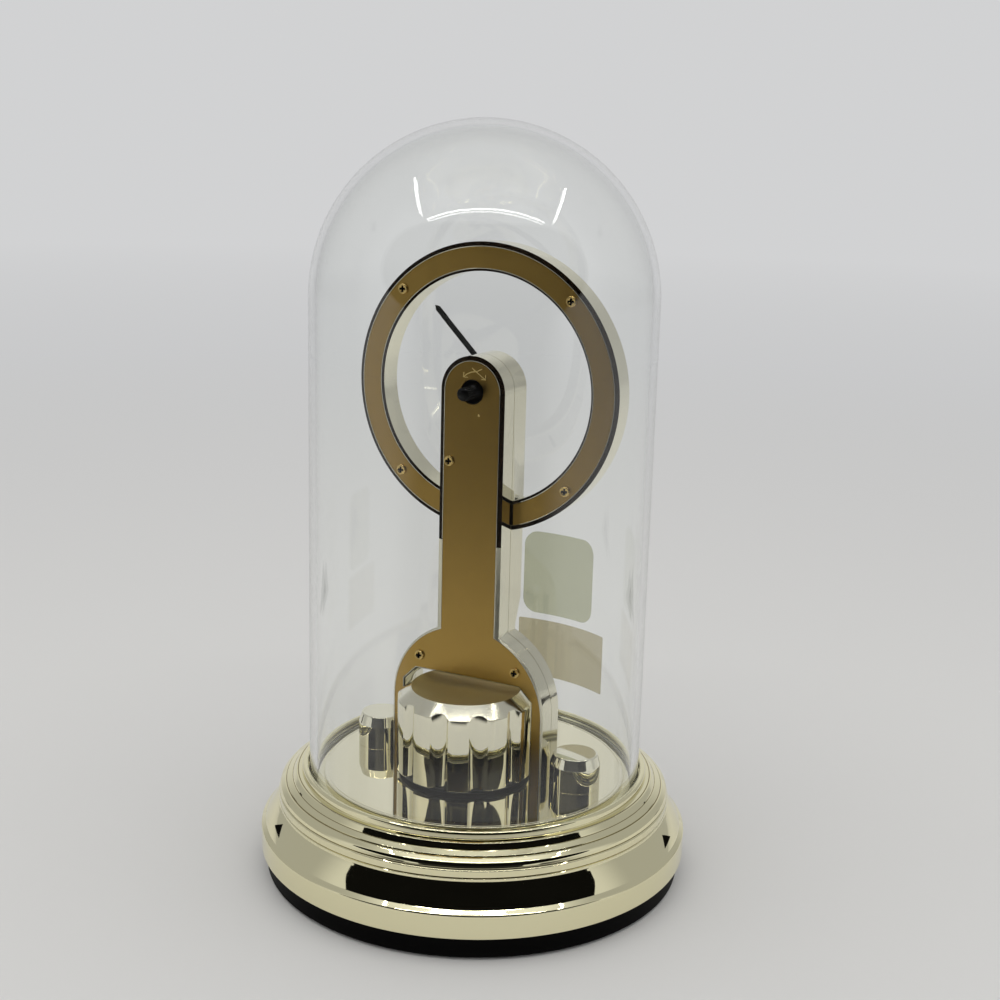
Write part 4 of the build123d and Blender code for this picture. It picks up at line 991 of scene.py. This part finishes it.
def make_deck():
    """The polished deck with a fine rounded edge and a turned line near it."""
    line = DECK_RADIUS - DECK_LINE_IN
    corners = [
        (0.0, SEAT_Z, 0.0), (DECK_RADIUS, SEAT_Z, 0.0), (DECK_RADIUS, DECK_Z, DECK_EDGE),
        (line + DECK_LINE_HALF, DECK_Z, DECK_LINE_ROUND),
        (line, DECK_Z - DECK_LINE_DEPTH, DECK_LINE_ROUND / 2),
        (line - DECK_LINE_HALF, DECK_Z, DECK_LINE_ROUND), (0.0, DECK_Z, 0.0),
    ]
    make_piece("mirror_deck_disc", turned(rounded(corners), steps=160), "clock",
               DECK_GOLD, ["mirror_deck"])


def make_cushion():
    """The soft ring under the foot of the dome."""
    inner = DOME_RADIUS - DOME_WALL
    outer = LIP_INNER - CUSHION_CLEARANCE
    corners = [
        (inner, SEAT_Z, 0.0), (outer, SEAT_Z, 0.0),
        (outer, CUSHION_HIGH, CUSHION_EDGE), (inner, CUSHION_HIGH, CUSHION_EDGE),
    ]
    make_piece("dome_cushion_ring", turned(rounded(corners), steps=128), "clock",
               CUSHION, ["dome_cushion"])


def make_feet():
    """Four round rubber feet with softened edges."""
    corners = [(0.0, 0.0, 0.0), (FOOT_RADIUS, 0.0, FOOT_EDGE), (FOOT_RADIUS, FOOT_HIGH, 0.0),
               (0.0, FOOT_HIGH, 0.0)]
    whole = bmesh.new()
    for x, y in ((1, 0), (0, 1), (-1, 0), (0, -1)):
        foot = turned(rounded(corners), 40, (x * FOOT_CIRCLE, y * FOOT_CIRCLE))
        held = bpy.data.meshes.new("foot")
        foot.to_mesh(held)
        foot.free()
        whole.from_mesh(held)
        bpy.data.meshes.remove(held)
    make_piece("rubber_feet", whole, "clock", RUBBER, ["foot_pads"])


def make_posts():
    """The two polished posts: a straight wall and a steep bright cone round a flat top."""
    top = DECK_Z + POST_HEIGHT
    corners = [
        (0.0, DECK_Z, 0.0), (POST_RADIUS, DECK_Z, POST_FOOT_ROUND),
        (POST_RADIUS, DECK_Z + POST_WALL, POST_SHOULDER_ROUND),
        (POST_TOP_RADIUS, top, POST_TOP_ROUND), (0.0, top, 0.0),
    ]
    for name, side in (("left_post", -1), ("right_post", 1)):
        form = turned(rounded(corners, steps=5), 96, (side * POST_X, 0.0))
        make_piece(name + "_turned", form, "clock", GOLD, [name], angle=40.0)


# Dome

def make_dome():
    """The clear dome: a tall cylinder under a half ball, with a rounded foot."""
    inner = DOME_RADIUS - DOME_WALL
    foot = rounded([(inner, CUSHION_HIGH, DOME_EDGE), (DOME_RADIUS, CUSHION_HIGH, DOME_EDGE),
                    (DOME_RADIUS, DOME_CENTRE_Z, 0.0), (inner, DOME_CENTRE_Z, 0.0)], steps=6)
    top = foot.index(Vector((DOME_RADIUS, DOME_CENTRE_Z)))
    outside = arc((0.0, DOME_CENTRE_Z), DOME_RADIUS, 0.0, 90.0, 40)
    inside = arc((0.0, DOME_CENTRE_Z), inner, 90.0, 0.0, 40)
    form = turned(foot[:top] + outside + inside + foot[top + 2:], steps=160)
    make_piece("glass_dome_blown", form, "dome", GLASS, ["glass_dome"], angle=60.0)


def make_film(name, node, corner, material):
    """A blank film wrapped on the front of the dome, at its CAD node's place."""
    low, high = [Vector(place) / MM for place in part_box(node)]
    radius = DOME_RADIUS + FILM_GAP
    first = math.asin(low.x / (radius + FILM_THICK))
    last = math.asin(high.x / (radius + FILM_THICK))
    width = (last - first) * radius
    outline = rounded([(0.0, low.z, corner), (width, low.z, corner), (width, high.z, corner),
                       (0.0, high.z, corner)], steps=6)
    form = bmesh.new()
    bmesh.ops.contextual_create(form, geom=add_loop(form, outline, 0.0))
    for strip in range(1, FILM_STRIPS):
        cut(form, (width * strip / FILM_STRIPS, 0, 0), (1, 0, 0))
    bmesh.ops.solidify(form, geom=form.faces[:], thickness=-FILM_THICK)
    deep = min(vert.co.y for vert in form.verts)
    for vert in form.verts:
        angle = first + vert.co.x / radius
        reach = radius + (vert.co.y - deep)
        vert.co = (reach * math.sin(angle), -reach * math.cos(angle), vert.co.z)
    make_piece(name, form, "dome", material, [node], angle=40.0)


# Column

def keyhole(inset, bulge_inset, opening_inset, steps=40):
    """The column's outline: arch over the drum, bulge, upright and round head."""
    half = PILLAR_HALF - inset
    bulge = BULGE_RADIUS - bulge_inset
    opening = OPENING_HALF + opening_inset
    top = OPENING_TOP + opening_inset
    corner = OPENING_CORNER + opening_inset / 2
    meet = math.degrees(math.acos(half / bulge))
    points = [(bulge, DECK_Z)]
    points += arc((0.0, BULGE_Z), bulge, 0.0, meet, steps)
    points += arc((0.0, RING_Z), half, 0.0, 180.0, steps)
    points += arc((0.0, BULGE_Z), bulge, 180.0 - meet, 180.0, steps)
    points += [(-bulge, DECK_Z), (-opening, DECK_Z), (-opening, top - corner)]
    points += [(-opening + corner, top), (opening - corner, top), (opening, top - corner)]
    points += [(opening, DECK_Z)]
    return points


def column_finish(centre, normal):
    """The plating by its number: bevels painted near black as shade high up and pale gold low down,
    the arch's underside painted satin brown as shade, the seam painted dark as shade.
    """
    # Bevels get near-black painted shade high up and pale gold low down.
    if centre.y > COLUMN_REAR - BEVEL_DEPTH and abs(normal.y) < FACING:
        return 1 if centre.z > EDGE_SHADE_FROM else 4
    # The arch's underside gets the satin brown: painted shade under the arch.
    under_arch = abs(centre.x) < OPENING_HALF and abs(centre.z - OPENING_TOP) < ARCH_BAND
    if under_arch and normal.z < -ARCH_FACING:
        return 2
    # The seam between the halves gets the dark groove gold: painted shade.
    return 3 if abs(centre.y - PARTING) < SEAM_WIDTH and abs(normal.y) < ACROSS else 0


def make_column_shells():
    """The two polished halves of the column, cut near their bends so that flats mirror flat."""
    for name, node, side in (("column_front_polished", "column_front_shell", -1),
                             ("column_rear_polished", "column_rear_shell", 1)):
        form = merged_copy(node)
        for depth in (PARTING + side * SEAM_WIDTH, COLUMN_REAR - BEVEL_DEPTH - BEVEL_HOLD):
            cut(form, (0, depth, 0), (0, 1, 0))
        for height in (BULGE_Z - HEIGHT_HOLD, EDGE_SHADE_FROM, RING_Z - HEIGHT_HOLD):
            cut(form, (0, 0, height), (0, 0, 1))
        make_piece(name, form, "clock", COLUMN_GOLD, [node],
                   [EDGE_SHADE, SATIN, GROOVE_SHADE_GOLD, BEVEL_GOLD], column_finish, turn_out=False)


def raised_mark(points, height):
    """A small raised mark on the rear cover."""
    return plate(points, [], COLUMN_REAR - MARK_SUNK, COLUMN_REAR + height)


def arrow_line(places):
    """The outline of a thin line of even width, from places round the setting knob's axis."""
    points = [Vector(place) + Vector((0.0, RING_Z)) for place in places]
    left, right = [], []
    for index, point in enumerate(points):
        ahead = points[min(index + 1, len(points) - 1)]
        along = (ahead - points[max(index - 1, 0)]).normalized()
        across = Vector((-along.y, along.x)) * ARROW_WIDTH / 2
        left.append(point + across)
        right.append(point - across)
    return left + right[::-1]


def make_rear_cover():
    """The satin cover with its knob hole, two crossed arrows above the hole and a pip below it."""
    outline = keyhole(PILLAR_EDGE, BULGE_EDGE, OPENING_EDGE)
    hole = circle((0.0, RING_Z), KNOB_HOLE, 60)
    form = plate(outline, [hole], COLUMN_REAR - COVER_THICK, COLUMN_REAR)
    round_rear_edges(form, COLUMN_REAR)
    make_piece("column_rear_cover_satin", form, "clock", COLUMN_SATIN_LIT_AND_SHADED,
               ["column_rear_cover"], angle=15.0)
    # The marks' brighter gold is partly a painted highlight.
    for index, places in enumerate(ARROW_LINES):
        mark = raised_mark(arrow_line(places), ARROW_HEIGHT + ARROW_HEIGHT_STEP * index)
        make_piece(f"setting_arrow_{index + 1}", mark, "clock", MARK_GOLD)
    pip = raised_mark(circle(PIP_PLACE, PIP_RADIUS, 18), PIP_HEIGHT)
    make_piece("cover_pip", pip, "clock", MARK_GOLD)


# Dial ring

def ring_outline():
    """The ring's section: radius and depth, with the dial's recess in front."""
    recess = RING_FRONT + DIAL_DEPTH
    floor = recess + RING_WALL
    pocket_outer = RING_OUTER - RING_OUTER_BEVEL - RIM_LAND
    pocket_inner = RING_INNER + RING_INNER_BEVEL + RIM_LAND
    inner, outer = RING_INNER, RING_OUTER
    half = RING_WALL / 2
    return [
        (inner, RING_FRONT), (inner + DIAL_RIM, RING_FRONT), (inner + DIAL_RIM, recess),
        (outer - DIAL_RIM, recess), (outer - DIAL_RIM, RING_FRONT), (outer, RING_FRONT),
        (outer, -BEVEL_DEPTH), (outer - RING_OUTER_BEVEL, 0.0), (pocket_outer, 0.0),
        (pocket_outer, -COVER_THICK), (pocket_outer - half, -COVER_THICK),
        (pocket_outer - half, floor), (pocket_inner + half, floor),
        (pocket_inner + half, -COVER_THICK), (pocket_inner, -COVER_THICK),
        (pocket_inner, 0.0), (inner + RING_INNER_BEVEL, 0.0), (inner, -BEVEL_DEPTH),
    ]


def make_dial_ring():
    """The ring: one half turned, cut off at the pillar, closed there, and mirrored."""
    form = bmesh.new()
    section = [form.verts.new((0.0, depth, RING_Z + radius)) for radius, depth in ring_outline()]
    edges = [form.edges.new((section[index - 1], section[index])) for index in range(len(section))]
    bmesh.ops.spin(form, geom=section + edges, cent=(0, 0, RING_Z), axis=(0, 1, 0),
                   angle=math.pi, steps=110)
    low = [face for face in form.faces if face.calc_center_median().z < RING_Z - RING_INNER / 2]
    parts = dict.fromkeys(part for face in low for part in (face, *face.verts, *face.edges))
    bmesh.ops.bisect_plane(form, geom=list(parts), plane_co=(RING_SLOT_HALF, 0, 0),
                           plane_no=(-1, 0, 0), clear_outer=True)
    open_end = [line for line in form.edges if line.is_boundary and line.verts[0].co.z < RING_Z]
    bmesh.ops.edgeloop_fill(form, edges=open_end)
    bmesh.ops.mirror(form, geom=all_of(form), axis="X", merge_dist=TOUCHING)

    # The ring's rear bevels get near-black painted shade.
    def bevel(centre, normal):
        return centre.y > -COVER_THICK and ASLANT < abs(normal.y) < FACING

    make_piece("dial_ring_polished", form, "clock", GOLD, ["dial_ring"], [EDGE_SHADE],
               bevel, angle=15.0)


def make_ring_cover():
    """The satin ring let into the back, ending at the pillar with a strip of painted shade."""
    outer = RING_OUTER - RING_OUTER_BEVEL - RIM_LAND - COVER_GAP
    inner = RING_INNER + RING_INNER_BEVEL + RIM_LAND + COVER_GAP
    half = RING_SLOT_HALF + COVER_GAP
    middle = (0.0, RING_Z)
    outer_start = math.degrees(math.asin(half / outer)) - 90.0
    inner_start = math.degrees(math.asin(half / inner)) - 90.0
    outline = arc(middle, outer, outer_start, 180.0 - outer_start, 200)
    outline += arc(middle, inner, 180.0 - inner_start, inner_start, 200)
    form = plate(outline, [], -COVER_THICK, 0.0)
    round_rear_edges(form, 0.0)
    for side in (-1, 1):
        cut(form, (side * RING_END_SHADE, 0, 0), (1, 0, 0))

    # The cover's ends at the pillar get near-black painted shade.
    def end(centre, normal):
        return centre.z < RING_Z and abs(centre.x) < RING_END_SHADE

    make_piece("ring_rear_cover_satin", form, "clock", SATIN, ["ring_rear_cover"],
               [EDGE_SHADE], end, angle=15.0)


def make_screws():
    """The cross-head screws of both covers, with painted shade in their recesses."""
    ring_places = arc((0.0, RING_Z), RING_SCREW_RADIUS, 45.0, 315.0, 3)
    cover_places = [Vector(place) for place in COLUMN_SCREWS]
    for name, node, places, face_y in (
            ("ring_screws_plated", "ring_cover_screws", ring_places, 0.0),
            ("column_screws_plated", "column_cover_screws", cover_places, COLUMN_REAR)):
        top = face_y + SCREW_HEAD

        # Faces inside the cross recesses get near-black painted shade.
        def recess(centre, normal, places=places, face_y=face_y, top=top):
            if not face_y + NEARLY < centre.y < top - NEARLY:
                return False
            reach = min((Vector((centre.x, centre.z)) - place).length for place in places)
            deep = abs(normal.y) < ACROSS or centre.y < top - SCREW_RECESS_DEPTH
            return reach < SCREW_RECESS_RADIUS and deep

        make_piece(name, merged_copy(node), "clock", SCREW_BRASS, [node],
                   [RECESS_SHADE], recess, turn_out=False)


def make_knob():
    """The black setting knob."""
    make_piece("setting_knob_black", merged_copy("setting_knob"), "minute_works",
               KNOB_BLACK, ["setting_knob"], turn_out=False)


# Pendulum

def drum_stations():
    """The angle in degrees and the radius of the drum's wall, all the way round."""
    half = math.radians(FLUTE_HALF_ANGLE)
    half_chord = DRUM_RADIUS * math.sin(half)
    chord_radius = DRUM_RADIUS * math.cos(half)
    depth = FLUTE_DEPTH - (DRUM_RADIUS - chord_radius)
    hollow_radius = half_chord ** 2 / (2 * depth) + depth / 2
    hollow_middle = chord_radius - depth + hollow_radius
    pitch = 360.0 / FLUTES
    stations = []
    for flute in range(FLUTES):
        middle = FLUTE_FIRST_ANGLE + pitch * flute
        for step in range(FLUTE_STEPS + 1):
            angle = FLUTE_HALF_ANGLE * (2 * step / FLUTE_STEPS - 1)
            turn = math.radians(angle)
            across = hollow_middle * math.sin(turn)
            wall = math.sqrt(hollow_radius ** 2 - across ** 2)
            stations.append((middle + angle, hollow_middle * math.cos(turn) - wall))
        for step in range(1, LAND_STEPS):
            angle = FLUTE_HALF_ANGLE + (pitch - 2 * FLUTE_HALF_ANGLE) * step / LAND_STEPS
            stations.append((middle + angle, DRUM_RADIUS))
    return stations


def make_drum():
    """The fluted drum: its hollow, its foot, its fluted wall and its cone, ring by ring."""
    stations = drum_stations()
    form = bmesh.new()
    wall = form.verts.layers.float.new("wall")
    ring = bmesh.ops.create_circle(form, segments=len(stations), radius=1.0)["verts"]
    inner_top = DRUM_TOP_RADIUS - DRUM_WALL
    ceiling = DRUM_TOP - DRUM_TOP_PLATE
    for vert, (angle, radius) in zip(ring, stations):
        turn = math.radians(angle)
        vert[wall] = radius
        vert.co = (inner_top * math.cos(turn), inner_top * math.sin(turn), ceiling)
    edges = form.edges[:]
    bmesh.ops.contextual_create(form, geom=edges)
    inner = DRUM_RADIUS - DRUM_WALL
    slope = (DRUM_TOP - DRUM_CONE) / (DRUM_RADIUS - DRUM_TOP_RADIUS)
    levels = (
        lambda vert: (inner, DRUM_CONE - DRUM_WALL / 2),
        lambda vert: (inner, DRUM_LOW),
        lambda vert: (vert[wall], DRUM_LOW),
        lambda vert: (vert[wall], DRUM_CONE + (DRUM_RADIUS - vert[wall]) * slope),
        lambda vert: (DRUM_TOP_RADIUS, DRUM_TOP),
    )
    for level in levels:
        grown = bmesh.ops.extrude_edge_only(form, edges=edges)["geom"]
        edges = [item for item in grown if isinstance(item, bmesh.types.BMEdge)]
        for vert in grown:
            if isinstance(vert, bmesh.types.BMVert):
                radius, height = level(vert)
                flat = vert.co.xy.normalized() * radius
                vert.co = (flat.x, flat.y, height)
    bmesh.ops.contextual_create(form, geom=edges)
    sharp = [line for line in form.edges if line.is_manifold
             and line.calc_face_angle(0.0) > DRUM_SHARP_TURN
             and min(vert.co.xy.length for vert in line.verts) > inner + DRUM_WALL_CLEAR]
    bevel_edges(form, sharp, FLUTE_EDGE)
    bmesh.ops.translate(form, verts=form.verts, vec=(0, DRUM_Y, 0))

    # The flat top gets the gold of the painted reflection; the cone gets a rougher gold.
    def top_or_cone(centre, normal):
        if centre.z > DRUM_TOP - NEARLY:
            return 1
        least, most = DRUM_CONE_NORMALS
        return 2 if centre.z > DRUM_CONE and least < normal.z < most else 0

    make_piece("pendulum_drum_fluted", form, "pendulum", DRUM_GOLD,
               ["pendulum_drum"], [DRUM_TOP_REFLECTION_GOLD, DRUM_CONE_GOLD], top_or_cone, angle=24.0)


def make_turntable():
    """The black turntable under the drum, with its plug and hub."""
    corners = [
        (0.0, TURNTABLE_LOW, 0.0), (TURNTABLE_RADIUS, TURNTABLE_LOW, TURNTABLE_EDGE),
        (TURNTABLE_RADIUS, DRUM_LOW, TURNTABLE_EDGE / 2), (PLUG_RADIUS, DRUM_LOW, 0.0),
        (PLUG_RADIUS, PLUG_HIGH, TURNTABLE_EDGE), (HUB_RADIUS, PLUG_HIGH, TURNTABLE_EDGE),
        (HUB_RADIUS, HUB_HIGH, TURNTABLE_EDGE), (0.0, HUB_HIGH, 0.0),
    ]
    make_piece("turntable_black", turned(rounded(corners), 120, (0.0, DRUM_Y)), "pendulum",
               BLACK, ["pendulum_turntable"])


make_base()
make_pan()
make_deck()
make_cushion()
make_feet()
make_posts()
make_dome()
make_film("blank_square_film", "square_film", SQUARE_FILM_CORNER, SQUARE_FILM)
make_film("blank_wide_film", "label_film", WIDE_FILM_CORNER, WIDE_FILM)
make_column_shells()
make_rear_cover()
make_dial_ring()
make_ring_cover()
make_screws()
make_knob()
make_drum()
make_turntable()



bpy.context.view_layer.update()
